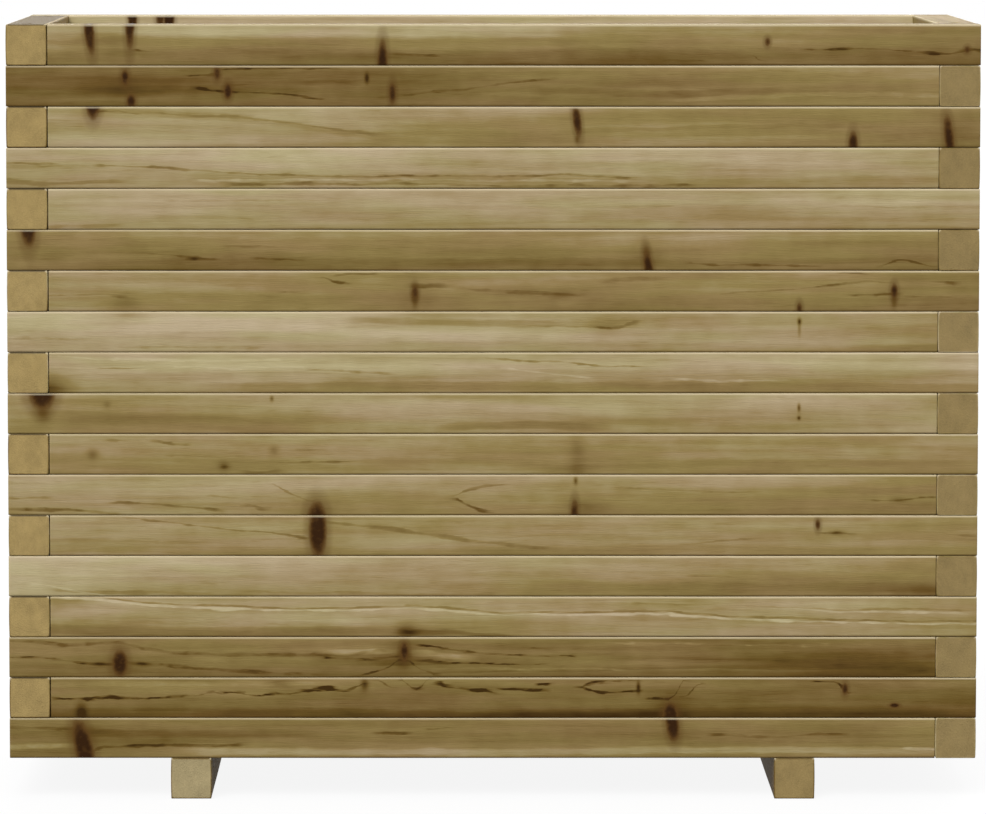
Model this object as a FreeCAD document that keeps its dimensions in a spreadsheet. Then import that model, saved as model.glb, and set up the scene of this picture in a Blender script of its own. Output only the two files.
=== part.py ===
"""Slatted timber raised planter: stacked courses of square slats on two foot beams.

Every course has four slats laid in a pinwheel, and the pinwheel turns the other way in the next
course, so the corners interlock as in a log wall.  Countersunk screws hold each slat to the course
below, the foot beams to the lowest course and the floor boards to the foot beams.

Frame: origin on the ground under the middle of the planter, X along its length (right), Y towards
its back, Z up.  Sizes are in millimetres.
"""

import FreeCAD, Part

import os

import Sketcher

SIZES = (
    ("planter_width", 996, "outer length of the box along X"),
    ("planter_depth", 398, "outer depth of the box along Y"),
    ("slat_size", 42, "side of a slat's square section, and the height of a course"),
    ("course_count", 18, "courses in the wall"),
    ("edge_round", 2, "rounding of the long edges of the timber"),
    ("foot_width", 42, "width of a foot beam along X"),
    ("foot_height", 42, "height of a foot beam"),
    ("foot_inset", 166, "from the end of the box to the outer side of a foot beam"),
    ("board_count", 3, "floor boards side by side"),
    ("board_gap", 7.25, "drainage gap beside each floor board"),
    ("board_thickness", 20, "thickness of a floor board"),
    ("board_end_gap", 3, "room between a floor board's end and the wall"),
    ("board_screw_spread", 50, "distance between the two screws across a floor board"),
    ("wall_screw_diameter", 5, "screws of the slats and the foot beams"),
    ("wall_screw_head", 10, "head diameter of those screws"),
    ("wall_screw_bite", 28, "how far they reach into the next piece"),
    ("floor_screw_diameter", 4, "screws of the floor boards"),
    ("floor_screw_head", 8, "head diameter of those screws"),
    ("floor_screw_bite", 22, "how far they reach into a foot beam"),
    ("screw_tip", 5, "length of a screw's point"),
    ("screw_recess", 1, "how deep a screw head sits below the timber's face"),
    ("corner_screw_stagger", 10, "a corner screw's distance from the middle of its corner"),
    ("butt_screw_inset", 30, "from a slat's butted end to the screw near it"),
    ("drive_span", 4, "length of each slot of the cross recess in a head"),
    ("drive_slot", 1, "width of those slots"),
    ("drive_depth", 1.6, "depth of those slots"),
    ("hole_clearance", 0.1, "room round a screw, and past its point"),
)

WIDTH = "Sizes.planter_width"
DEPTH = "Sizes.planter_depth"
SLAT = "Sizes.slat_size"
FOOT_WIDTH = "Sizes.foot_width"
FOOT_HEIGHT = "Sizes.foot_height"
BOARD_GAP = "Sizes.board_gap"
BOARD_COUNT = "Sizes.board_count"
BOARD_THICKNESS = "Sizes.board_thickness"
RECESS = "Sizes.screw_recess"
CLEARANCE = "Sizes.hole_clearance"
STAGGER = "Sizes.corner_screw_stagger"
BUTT_INSET = "Sizes.butt_screw_inset"
INNER_DEPTH = f"({DEPTH} - 2 * {SLAT})"
BOARD_WIDTH = f"(({INNER_DEPTH} - ({BOARD_COUNT} + 1) * {BOARD_GAP}) / {BOARD_COUNT})"
FOOT_X = f"({WIDTH} / 2 - Sizes.foot_inset - {FOOT_WIDTH} / 2)"
WALL_X = f"({WIDTH} / 2 - {SLAT} / 2)"
WALL_Y = f"({DEPTH} / 2 - {SLAT} / 2)"
BOARD_SCREW_Y = "(Sizes.board_screw_spread / 2)"

WALL_SCREW = ("Sizes.wall_screw_diameter", "Sizes.wall_screw_head", "Sizes.wall_screw_bite")
FLOOR_SCREW = ("Sizes.floor_screw_diameter", "Sizes.floor_screw_head", "Sizes.floor_screw_bite")

COUNTERSINK_ANGLE = 90
HALF_TURN = 180
QUARTER_TURN = 90
LARGEST_ROUND_SHARE = 0.3
SAME_DIRECTION = 0.5

doc = FreeCAD.newDocument("Planter")


def make_sheet():
    """Write the driving sizes into the sheet, one row each: its meaning and its aliased value."""
    sheet = doc.addObject("Spreadsheet::Sheet", "Sizes")
    for row, (alias, number, meaning) in enumerate(SIZES, start=1):
        sheet.set(f"A{row}", meaning)
        sheet.set(f"B{row}", str(number))
        sheet.setAlias(f"B{row}", alias)
    doc.recompute()
    return sheet


sizes = make_sheet()


def number(expression):
    """The present value of an expression on the sheet's sizes."""
    return float(sizes.evalExpression(expression))


def origin_plane(body, role):
    """One of a body's own origin planes."""
    for feature in body.Origin.OriginFeatures:
        if feature.Role == role:
            return feature
    raise ValueError(f"{body.Label} has no plane {role}")


def make_sketch(body, name, role, height=None):
    """A sketch on an origin plane of its body, lifted by an expression if one is given."""
    sketch = body.newObject("Sketcher::SketchObject", name)
    sketch.AttachmentSupport = [(origin_plane(body, role), "")]
    sketch.MapMode = "FlatFace"
    if height is not None:
        sketch.setExpression(".AttachmentOffset.Base.z", height)
    return sketch


def tie(sketch, kind, references, expression):
    """Add a dimension to a sketch and bind it to an expression."""
    index = sketch.addConstraint(Sketcher.Constraint(kind, *references, number(expression)))
    sketch.setExpression(f"Constraints[{index}]", expression)


START_INDEX, END_INDEX, CENTRE_INDEX = 1, 2, 3
ACROSS_AXIS_INDEX = -1
ORIGIN_INDEX = (ACROSS_AXIS_INDEX, START_INDEX)


def draw_outline(sketch, corners):
    """A closed outline of straight lines whose corners are pairs of expressions."""
    points = [FreeCAD.Vector(number(x), number(y), 0) for x, y in corners]
    count = len(points)
    for i in range(count):
        sketch.addGeometry(Part.LineSegment(points[i], points[(i + 1) % count]))
    for i, (x, y) in enumerate(corners):
        corner = (i, END_INDEX, (i + 1) % count, START_INDEX)
        sketch.addConstraint(Sketcher.Constraint("Coincident", *corner))
        tie(sketch, "DistanceX", (*ORIGIN_INDEX, i, START_INDEX), x)
        tie(sketch, "DistanceY", (*ORIGIN_INDEX, i, START_INDEX), y)


def rectangle(width, low, high):
    """The corners of a rectangle that is centred across and runs from low to high."""
    return (
        (f"-{width} / 2", low),
        (f"{width} / 2", low),
        (f"{width} / 2", high),
        (f"-{width} / 2", high),
    )


def make_bar(name, role, width, height, length):
    """A timber: a rectangle on the plane, drawn out both ways, with its long edges rounded."""
    body = doc.addObject("PartDesign::Body", name)
    section = make_sketch(body, f"{name}_section", role)
    draw_outline(section, rectangle(width, "0", height))
    pad = body.newObject("PartDesign::Pad", f"{name}_length")
    pad.Profile = section
    pad.SideType = "Symmetric"
    pad.setExpression("Length", length)
    section.Visibility = False
    doc.recompute()
    along = pad.Direction
    long_edges = [
        f"Edge{i}"
        for i, edge in enumerate(pad.Shape.Edges, start=1)
        if edge.tangentAt(edge.FirstParameter).cross(along).Length < SAME_DIRECTION
    ]
    rounding = body.newObject("PartDesign::Fillet", f"{name}_rounding")
    rounding.Base = (pad, long_edges)
    largest = f"{LARGEST_ROUND_SHARE} * min({width}; {height})"
    rounding.setExpression("Radius", f"min(Sizes.edge_round; {largest})")
    body.Tip = rounding
    doc.recompute()
    return body


def drill(body, name, screw, centres, height, upward=False, pilot=False):
    """Drill a body at the centres, from a level given by an expression.

    A clearance hole goes right through and is countersunk deep enough for a recessed head.  A pilot
    hole is as deep as the screw's bite.  Holes run downward unless upward is set.
    """
    diameter, head, bite = screw
    sketch = make_sketch(body, f"{name}_centres", "XY_Plane", height)
    for i, (x, y) in enumerate(centres):
        place = FreeCAD.Vector(number(x), number(y), 0)
        sketch.addGeometry(Part.Circle(place, FreeCAD.Vector(0, 0, 1), number(diameter) / 2))
        tie(sketch, "Diameter", (i,), diameter)
        tie(sketch, "DistanceX", (*ORIGIN_INDEX, i, CENTRE_INDEX), x)
        if y == "0":
            on_axis = (i, CENTRE_INDEX, ACROSS_AXIS_INDEX)
            sketch.addConstraint(Sketcher.Constraint("PointOnObject", *on_axis))
        else:
            tie(sketch, "DistanceY", (*ORIGIN_INDEX, i, CENTRE_INDEX), y)
    doc.recompute()
    before = body.Shape.Volume
    hole = body.newObject("PartDesign::Hole", name)
    hole.Profile = sketch
    hole.ThreadType = "None"
    hole.DrillPoint = "Flat"
    hole.Reversed = upward
    hole.setExpression("Diameter", f"{diameter} + 2 * {CLEARANCE}")
    if pilot:
        hole.DepthType = "Dimension"
        hole.setExpression("Depth", f"{bite} + {CLEARANCE}")
    else:
        hole.DepthType = "ThroughAll"
        hole.HoleCutType = "Countersink"
        hole.HoleCutCustomValues = True
        hole.HoleCutCountersinkAngle = COUNTERSINK_ANGLE
        hole.setExpression("HoleCutDiameter", f"{head} + 2 * ({CLEARANCE} + {RECESS})")
    sketch.Visibility = False
    body.Tip = hole
    doc.recompute()
    if not body.Shape.Volume < before:
        raise ValueError(f"{name} cut nothing")


def make_screw(name, screw, held):
    """A countersunk screw through a piece of the held thickness, its head's face at the origin."""
    diameter, head, bite = screw
    length = f"({held} - {RECESS} + {bite})"
    head_height = f"(({head} - {diameter}) / 2)"
    body = doc.addObject("PartDesign::Body", name)
    profile = make_sketch(body, f"{name}_profile", "XZ_Plane")
    corners = (
        ("0", "0"),
        (f"{head} / 2", "0"),
        (f"{diameter} / 2", f"-{head_height}"),
        (f"{diameter} / 2", f"Sizes.screw_tip - {length}"),
        ("0", f"-{length}"),
    )
    draw_outline(profile, corners)
    turned = body.newObject("PartDesign::Revolution", f"{name}_turned")
    turned.Profile = profile
    turned.ReferenceAxis = (profile, ["V_Axis"])
    turned.Angle = 2 * HALF_TURN
    doc.recompute()
    slot_sketch = make_sketch(body, f"{name}_slot", "XY_Plane")
    slot_side = "Sizes.drive_slot / 2"
    draw_outline(slot_sketch, rectangle("Sizes.drive_span", f"-{slot_side}", slot_side))
    slot = body.newObject("PartDesign::Pocket", f"{name}_first_slot")
    slot.Profile = slot_sketch
    slot.setExpression("Length", "Sizes.drive_depth")
    doc.recompute()
    cross = body.newObject("PartDesign::PolarPattern", f"{name}_cross")
    cross.Originals = [slot]
    cross.Axis = (slot_sketch, ["N_Axis"])
    cross.Angle = QUARTER_TURN
    cross.Occurrences = 2
    body.Tip = cross
    doc.recompute()
    if not body.Shape.Volume < slot.Shape.Volume < turned.Shape.Volume:
        raise ValueError(f"{name} has no cross recess")
    return body


def place(source, name, x="0", y="0", z="0", turn=0, flip=False):
    """A copy of a piece at x, y, z (expressions), turned about Z and, if asked, upside down."""
    copy = doc.addObject("App::Link", name)
    copy.LinkedObject = source
    upright = FreeCAD.Rotation(FreeCAD.Vector(0, 0, 1), turn)
    overturned = FreeCAD.Rotation(FreeCAD.Vector(1, 0, 0), HALF_TURN)
    copy.Placement.Rotation = upright.multiply(overturned) if flip else upright
    copy.setExpression("Placement.Base.x", x)
    copy.setExpression("Placement.Base.y", y)
    copy.setExpression("Placement.Base.z", z)
    return copy


def gather(name, copies, height="0"):
    """Separate solids that share one name, lifted by an expression."""
    group = doc.addObject("Part::Compound", name)
    group.Label = name
    group.Links = copies
    group.setExpression("Placement.Base.z", height)
    return group


def make_slat(name, length, even, screwed, holds_next, on_feet):
    """One slat, centred along X, with the wall's inside towards +Y and its bottom at z = 0.

    One end fills its corner of the plan and the other butts against the next wall.  The corner end
    is at +X in an even course and at -X in an odd one.  Its own screws go down into the course
    below, and the course above needs pilot holes in its top.
    """
    side = "" if even else "-"
    other_side = "-" if even else ""
    slat = make_bar(name, "YZ_Plane", SLAT, SLAT, length)
    corner_end = f"{length} / 2"
    if screwed:
        own = (
            (f"{side}({corner_end} - {SLAT} / 2 - {STAGGER})", "0"),
            (f"{other_side}({corner_end} - {BUTT_INSET})", "0"),
        )
        drill(slat, f"{name}_own_holes", WALL_SCREW, own, SLAT)
    if holds_next:
        pilots = (
            (f"{side}({corner_end} - {SLAT} / 2)", STAGGER),
            (f"{side}({corner_end} - {SLAT} - {BUTT_INSET})", "0"),
        )
        drill(slat, f"{name}_pilots", WALL_SCREW, pilots, SLAT, pilot=True)
    if on_feet:
        shift = f"{other_side}{SLAT} / 2"
        over_feet = ((f"{FOOT_X} + {shift}", "0"), (f"-{FOOT_X} + {shift}", "0"))
        drill(slat, f"{name}_foot_pilots", WALL_SCREW, over_feet, "0", upward=True, pilot=True)
    return slat


def make_courses():
    """The wall: in each course, a pair of long slats and a pair of short ones."""
    count = int(number("Sizes.course_count"))
    lengths = {"long": f"({WIDTH} - {SLAT})", "short": f"({DEPTH} - {SLAT})"}
    masters = {}
    courses = []
    for k in range(1, count + 1):
        even = k % 2 == 0
        screwed = k > 1
        holds_next = k < count
        height = f"{FOOT_HEIGHT} + {k - 1} * {SLAT}"
        along = f"{SLAT} / 2" if even else f"-{SLAT} / 2"
        back_along = f"-{SLAT} / 2" if even else f"{SLAT} / 2"
        for kind, length in lengths.items():
            key = (kind, even, screwed, holds_next)
            if key not in masters:
                name = f"{kind}_slat_{len(masters) + 1}"
                on_feet = kind == "long" and not screwed
                masters[key] = make_slat(name, length, even, screwed, holds_next, on_feet)
            slat = masters[key]
            name = f"course_{k:02d}_{kind}_slats"
            if kind == "long":
                pair = [
                    place(slat, f"{name}_front", along, f"-{WALL_Y}"),
                    place(slat, f"{name}_back", back_along, WALL_Y, turn=HALF_TURN),
                ]
            else:
                pair = [
                    place(slat, f"{name}_left", f"-{WALL_X}", back_along, turn=-QUARTER_TURN),
                    place(slat, f"{name}_right", WALL_X, along, turn=QUARTER_TURN),
                ]
            courses.append(gather(name, pair, height))
    return courses


def board_places():
    """The middle of each floor board along Y: the boards and their gaps fill the inner depth."""
    first = f"-{INNER_DEPTH} / 2 + {BOARD_GAP} + {BOARD_WIDTH} / 2"
    count = int(number(BOARD_COUNT))
    return [f"({first} + {i} * ({BOARD_WIDTH} + {BOARD_GAP}))" for i in range(count)]


def make_feet(boards):
    """Two beams under the box from front to back, screwed up into the lowest long slats."""
    foot = make_bar("foot", "XZ_Plane", FOOT_WIDTH, FOOT_HEIGHT, DEPTH)
    under_walls = (("0", f"-{WALL_Y}"), ("0", WALL_Y))
    drill(foot, "foot_wall_holes", WALL_SCREW, under_walls, "0", upward=True)
    under_boards = [("0", f"{y} {sign} {BOARD_SCREW_Y}") for y in boards for sign in "-+"]
    drill(foot, "foot_board_pilots", FLOOR_SCREW, under_boards, FOOT_HEIGHT, pilot=True)
    return [
        gather("left_foot", [place(foot, "left_foot_beam", f"-{FOOT_X}")]),
        gather("right_foot", [place(foot, "right_foot_beam", FOOT_X)]),
    ]


def make_floor(boards):
    """Floor boards along X on the foot beams, numbered from the front."""
    length = f"({WIDTH} - 2 * {SLAT} - 2 * Sizes.board_end_gap)"
    board = make_bar("floor_board", "YZ_Plane", BOARD_WIDTH, BOARD_THICKNESS, length)
    over_feet = [(f"{x}{FOOT_X}", f"{y}{BOARD_SCREW_Y}") for x in ("-", "") for y in ("-", "")]
    drill(board, "floor_board_holes", FLOOR_SCREW, over_feet, BOARD_THICKNESS)
    return [
        gather(f"floor_board_{i}", [place(board, f"floor_board_{i}_timber", y=y)], FOOT_HEIGHT)
        for i, y in enumerate(boards, start=1)
    ]


def make_corner_screws():
    """The screws of the slats, in a group for each corner of the box."""
    screw = make_screw("wall_screw", WALL_SCREW, SLAT)
    count = int(number("Sizes.course_count"))
    corner_x = f"({WALL_X} - {STAGGER})"
    corner_y = f"({WALL_Y} - {STAGGER})"
    butt_x = f"({WIDTH} / 2 - {SLAT} - {BUTT_INSET})"
    butt_y = f"({DEPTH} / 2 - {SLAT} - {BUTT_INSET})"
    long_corner = ((corner_x, WALL_Y), (WALL_X, butt_y))
    short_corner = ((WALL_X, corner_y), (butt_x, WALL_Y))
    groups = []
    for side, sign, even_pair, odd_pair, behind in (
        ("left", "-", short_corner, long_corner, "right"),
        ("right", "", long_corner, short_corner, "left"),
    ):
        pairs = []
        for parity, spots in (("odd", odd_pair), ("even", even_pair)):
            name = f"{parity}_pair_{side}"
            copies = [
                place(screw, f"{name}_{i}", f"{sign}{x}", f"-{y}") for i, (x, y) in enumerate(spots)
            ]
            pairs.append(gather(name, copies))
        copies = [
            place(
                pairs[(k + 1) % 2],
                f"screws_{side}_{k}",
                z=f"{FOOT_HEIGHT} + {k} * {SLAT} - {RECESS}",
            )
            for k in range(2, count + 1)
        ]
        front = gather(f"corner_screws_front_{side}", copies)
        turned = place(front, f"screws_back_{behind}", turn=HALF_TURN)
        groups += [front, gather(f"corner_screws_back_{behind}", [turned])]
    return groups


def make_base_screws(boards):
    """The screws of the floor boards and of the foot beams."""
    floor_screw = make_screw("board_screw", FLOOR_SCREW, BOARD_THICKNESS)
    top = f"{FOOT_HEIGHT} + {BOARD_THICKNESS} - {RECESS}"
    floor_copies = [
        place(floor_screw, "floor_screw", f"{x}{FOOT_X}", f"{y} {sign} {BOARD_SCREW_Y}", top)
        for y in boards
        for x in ("-", "")
        for sign in "-+"
    ]
    foot_screw = make_screw("beam_screw", WALL_SCREW, FOOT_HEIGHT)
    foot_copies = [
        place(foot_screw, "foot_screw", f"{x}{FOOT_X}", f"{y}{WALL_Y}", RECESS, flip=True)
        for x in ("-", "")
        for y in ("-", "")
    ]
    return [gather("floor_screws", floor_copies), gather("foot_screws", foot_copies)]


def write_parts(sub_parts):
    """Check every object and every sub-part's shape, then write one file for each sub-part."""
    doc.recompute()
    for item in doc.Objects:
        if "Invalid" in item.State or "Error" in item.State:
            raise ValueError(f"{item.Label} failed: {item.State}")
    for item in sub_parts:
        if item.Shape.isNull() or not item.Shape.isValid() or not item.Shape.Solids:
            raise ValueError(f"{item.Label} has no valid solid")
    os.makedirs("parts", exist_ok=True)
    for item in sub_parts:
        item.Shape.exportStep(f"parts/{item.Label}.step")
        print(item.Label, len(item.Shape.Solids), "solids", round(item.Shape.Volume), "mm3")


board_middles = board_places()
planter = make_courses()
planter += make_feet(board_middles)
planter += make_floor(board_middles)
planter += make_corner_screws()
planter += make_base_screws(board_middles)
write_parts(planter)
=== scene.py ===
"""Slatted timber raised planter: the looks of its slats, foot beams, floor boards and screws.

Every timber is a rounded bar, worked out as one array.  Its vertices carry the place of that spot in
the tree that the timber was cut from, so growth rings, grain and knots run through the solid and
meet on all of its faces.
"""

import math

import bpy
import numpy as np
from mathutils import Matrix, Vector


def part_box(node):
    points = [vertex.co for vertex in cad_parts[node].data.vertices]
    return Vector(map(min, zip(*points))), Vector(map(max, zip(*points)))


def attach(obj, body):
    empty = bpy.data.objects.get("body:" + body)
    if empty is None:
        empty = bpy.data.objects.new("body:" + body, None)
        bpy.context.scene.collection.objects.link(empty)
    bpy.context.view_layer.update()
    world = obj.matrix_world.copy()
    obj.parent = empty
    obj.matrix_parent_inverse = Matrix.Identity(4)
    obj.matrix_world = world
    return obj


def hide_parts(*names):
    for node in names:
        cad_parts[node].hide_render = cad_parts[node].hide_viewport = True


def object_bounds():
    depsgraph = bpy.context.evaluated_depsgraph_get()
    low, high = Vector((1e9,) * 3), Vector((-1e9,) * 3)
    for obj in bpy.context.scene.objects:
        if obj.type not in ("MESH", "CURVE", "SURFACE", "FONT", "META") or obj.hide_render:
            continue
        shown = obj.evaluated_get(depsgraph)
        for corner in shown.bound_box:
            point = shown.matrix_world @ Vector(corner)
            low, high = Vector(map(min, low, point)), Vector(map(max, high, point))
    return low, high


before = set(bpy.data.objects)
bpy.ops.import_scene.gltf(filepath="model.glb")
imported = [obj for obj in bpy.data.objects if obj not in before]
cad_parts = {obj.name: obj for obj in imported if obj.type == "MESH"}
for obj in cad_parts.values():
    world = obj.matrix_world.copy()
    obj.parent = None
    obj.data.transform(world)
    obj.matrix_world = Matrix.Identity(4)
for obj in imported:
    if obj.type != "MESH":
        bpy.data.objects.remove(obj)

bl_info = {
    "name": "Slatted planter",
    "version": (1, 0, 0),
    "blender": (4, 5, 0),
    "location": "3D View > Sidebar > Planter",
    "description": "Dresses the planter's frame with treated timber and plated screws",
    "category": "Object",
}

MM = 0.001
CAD_BOX = [list(corner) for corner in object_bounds()]
BOX_HIGH = np.array(CAD_BOX[1])
FOOT_LOW, FOOT_HIGH = (np.array(corner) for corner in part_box("left_foot"))
COURSE_LOW, COURSE_HIGH = (np.array(corner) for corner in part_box("course_01_long_slats"))
COURSE_COUNT = sum(name.endswith("_long_slats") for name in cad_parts)
BOARD_NODES = sorted(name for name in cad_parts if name.startswith("floor_board"))
SCREW_NODES = sorted(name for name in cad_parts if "screws" in name)
SLAT_MM = float(COURSE_HIGH[2] - COURSE_LOW[2]) / MM
HALF_WIDTH_MM = float(BOX_HIGH[0]) / MM
HALF_DEPTH_MM = float(BOX_HIGH[1]) / MM

# Screen colours to linear light: white, and the numbers of the usual curve.
SCREEN_WHITE = 255
SCREEN_KNEE = 0.04045
SCREEN_SLOPE = 12.92
SCREEN_LIFT = 0.055
SCREEN_POWER = 2.4

# How many knots, lanes of streaks and soft spots the vertices of a timber carry.
KNOT_SLOTS = 6
LANE_SLOTS = 7
SPOT_SLOTS = 8

# Knots, in rings: an age beyond any knot, how far a knot's age falls below the stem's, that fall for
# each mm of its width, the least growth along a branch and the age of a branch at the pith.  A chance
# knot is taller than it is wide by the oval.
NO_KNOT = 1000.0
KNOT_PEAK = 9.0
KNOT_GAIN = 0.9
KNOT_LEAST = 0.5
KNOT_BUD = 0.6
KNOT_OVAL = 1.7

# Streaks and spots, in mm: the run in which a line fades out, for each mm of its half width and at
# least, the room between two lines of a lane, the half width up to which a line wiggles, and the depth
# in which a mark on the face is gone.
LANE_PAD = 6.0
LANE_GAP = 15.0
LANE_WIGGLE = 1.2
FACE_FADE = 5.0

# A face grows paler towards its upper edge, painted shading of the light from above.  The painted
# highlight and painted shade of its long edges grow from left to right, as the light falls.  The grain
# leans by chance and starts at a chance place, and the tint runs between two.
FACE_FALL = 0.07
EDGE_PAINT_ALONG = (0.68, 1.0)
GRAIN_LEAN = 0.006
GRAIN_START = 30
GREENISH = (0.975, 1.005, 0.94)
ROSY = (1.024, 0.988, 1.07)


def srgb(red, green, blue):
    """A colour written as 0 to 255 screen values, as linear light."""
    screen = np.array((red, green, blue)) / SCREEN_WHITE
    curved = ((screen + SCREEN_LIFT) / (1 + SCREEN_LIFT)) ** SCREEN_POWER
    linear = np.where(screen <= SCREEN_KNEE, screen / SCREEN_SLOPE, curved)
    return tuple(float(value) for value in linear)


def colour(name, description, red, green, blue):
    """A colour property whose default is written in screen values."""
    return bpy.props.FloatVectorProperty(
        name=name,
        description=description,
        subtype="COLOR",
        size=3,
        min=0,
        max=1,
        default=srgb(red, green, blue),
    )


def length(name, description, millimetres):
    """A length property whose default is written in millimetres."""
    return bpy.props.FloatProperty(
        name=name,
        description=description,
        unit="LENGTH",
        subtype="DISTANCE",
        precision=5,
        min=0,
        default=millimetres * MM,
    )


def coordinate(name, description, metres):
    """A coordinate property in metres."""
    return bpy.props.FloatProperty(name=name, description=description, unit="LENGTH", default=metres)


class TimberSizes(bpy.types.PropertyGroup):
    """Sizes of the timber's surface."""

    edge_round: length("Edge rounding", "Radius of the slats' long edges", 1.15)
    foot_round: length("Foot rounding", "Radius of the foot beams' long edges", 0.7)
    end_round: length("End rounding", "Radius of the edges round an end", 0.5)
    crown: length("Crown", "How far the faces fall away towards their edges", 0.4)
    seam: length("Seam", "Open seam between two slats", 0.3)
    butt_gap: length("Butt gap", "Open joint where a slat butts against the wall at its start", 0.7)
    tight_gap: length("Tight gap", "Open joint where a slat butts against the wall at its end", 0.25)
    wave: length("Waviness", "How far a planed face wanders", 0.1)


class TimberColours(bpy.types.PropertyGroup):
    """Colours of the treated timber and the plated steel."""

    # Also the painted shade in the lower long edges, the dark of the seams.
    resin_and_seam_shade: colour("Resin", "Resin lines and flecks", 60, 40, 10)
    dark: colour("Dark wood", "Brown heartwood", 102, 79, 35)
    middle: colour("Wood", "Most of the wood", 145, 125, 78)
    light: colour("Light wood", "Pale sapwood", 186, 171, 135)
    knot_rim: colour("Knot rim", "Brown wood round a knot", 89, 61, 26)
    knot_core: colour("Knot core", "Dark middle of a knot", 50, 29, 9)
    end_grain: colour("End grain", "Sawn ends of the slats", 164, 141, 91)
    foot_end: colour("Foot end", "Sawn ends of the foot beams", 166, 151, 113)
    # Weather-grey, partly painted shade: upper faces and some ends darker where less light falls.
    weathered: colour("Weathered", "Upper faces of the timber", 88, 76, 55)
    # Painted highlight on the upper long edges, partly wear.
    wear_and_highlight: colour("Worn edge", "Rubbed upper edges", 214, 200, 168)
    steel: colour("Steel", "Zinc plating of the screws", 176, 170, 152)
    floor: colour("Floor", "Pale studio floor", 238, 238, 238)


class StageSettings(bpy.types.PropertyGroup):
    """The camera."""

    camera_x: coordinate("Camera X", "Place of the camera to the right of the middle", -0.0443)
    camera_y: coordinate("Camera Y", "Place of the camera behind the middle; below 0 in front", -6.199)
    camera_z: coordinate("Camera Z", "Height of the camera above the floor", 0.9615)
    tilt: bpy.props.FloatProperty(
        name="Tilt",
        description="How far the camera looks down",
        subtype="ANGLE",
        default=math.radians(4.81),
    )
    lens: bpy.props.FloatProperty(name="Lens", description="Focal length in mm", default=214.4)
    shift_x: bpy.props.FloatProperty(name="Shift X", description="Sideways shift", default=0.0438)
    shift_y: bpy.props.FloatProperty(name="Shift Y", description="Upward shift", default=-0.05)


class Wire:
    """A socket that takes part in arithmetic: each operator adds a Math node."""

    def __init__(self, graph, socket):
        self.graph = graph
        self.socket = socket

    def __add__(self, other):
        return self.graph.math("ADD", self, other)

    def __radd__(self, other):
        return self.graph.math("ADD", other, self)

    def __sub__(self, other):
        return self.graph.math("SUBTRACT", self, other)

    def __rsub__(self, other):
        return self.graph.math("SUBTRACT", other, self)

    def __mul__(self, other):
        return self.graph.math("MULTIPLY", self, other)

    def __rmul__(self, other):
        return self.graph.math("MULTIPLY", other, self)

    def __truediv__(self, other):
        return self.graph.math("DIVIDE", self, other)

    def __rtruediv__(self, other):
        return self.graph.math("DIVIDE", other, self)

    def least(self, other):
        """The smaller of two values."""
        return self.graph.math("MINIMUM", self, other)

    def most(self, other):
        """The larger of two values."""
        return self.graph.math("MAXIMUM", self, other)

    def soft_least(self, other, width):
        """The smaller of two values, blended where they are closer than width."""
        return self.graph.math("SMOOTH_MIN", self, other, width)

    def fraction(self):
        """What is left above the whole number."""
        return self.graph.math("FRACT", self)

    def whole(self):
        """The whole number below."""
        return self.graph.math("FLOOR", self)

    def rise(self, low, high):
        """A smooth step from 0 at low to 1 at high."""
        node = self.graph.node(
            "ShaderNodeMapRange",
            {"interpolation_type": "SMOOTHSTEP"},
            {"Value": self, "From Min": low, "From Max": high},
        )
        return Wire(self.graph, node.outputs["Result"])


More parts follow.
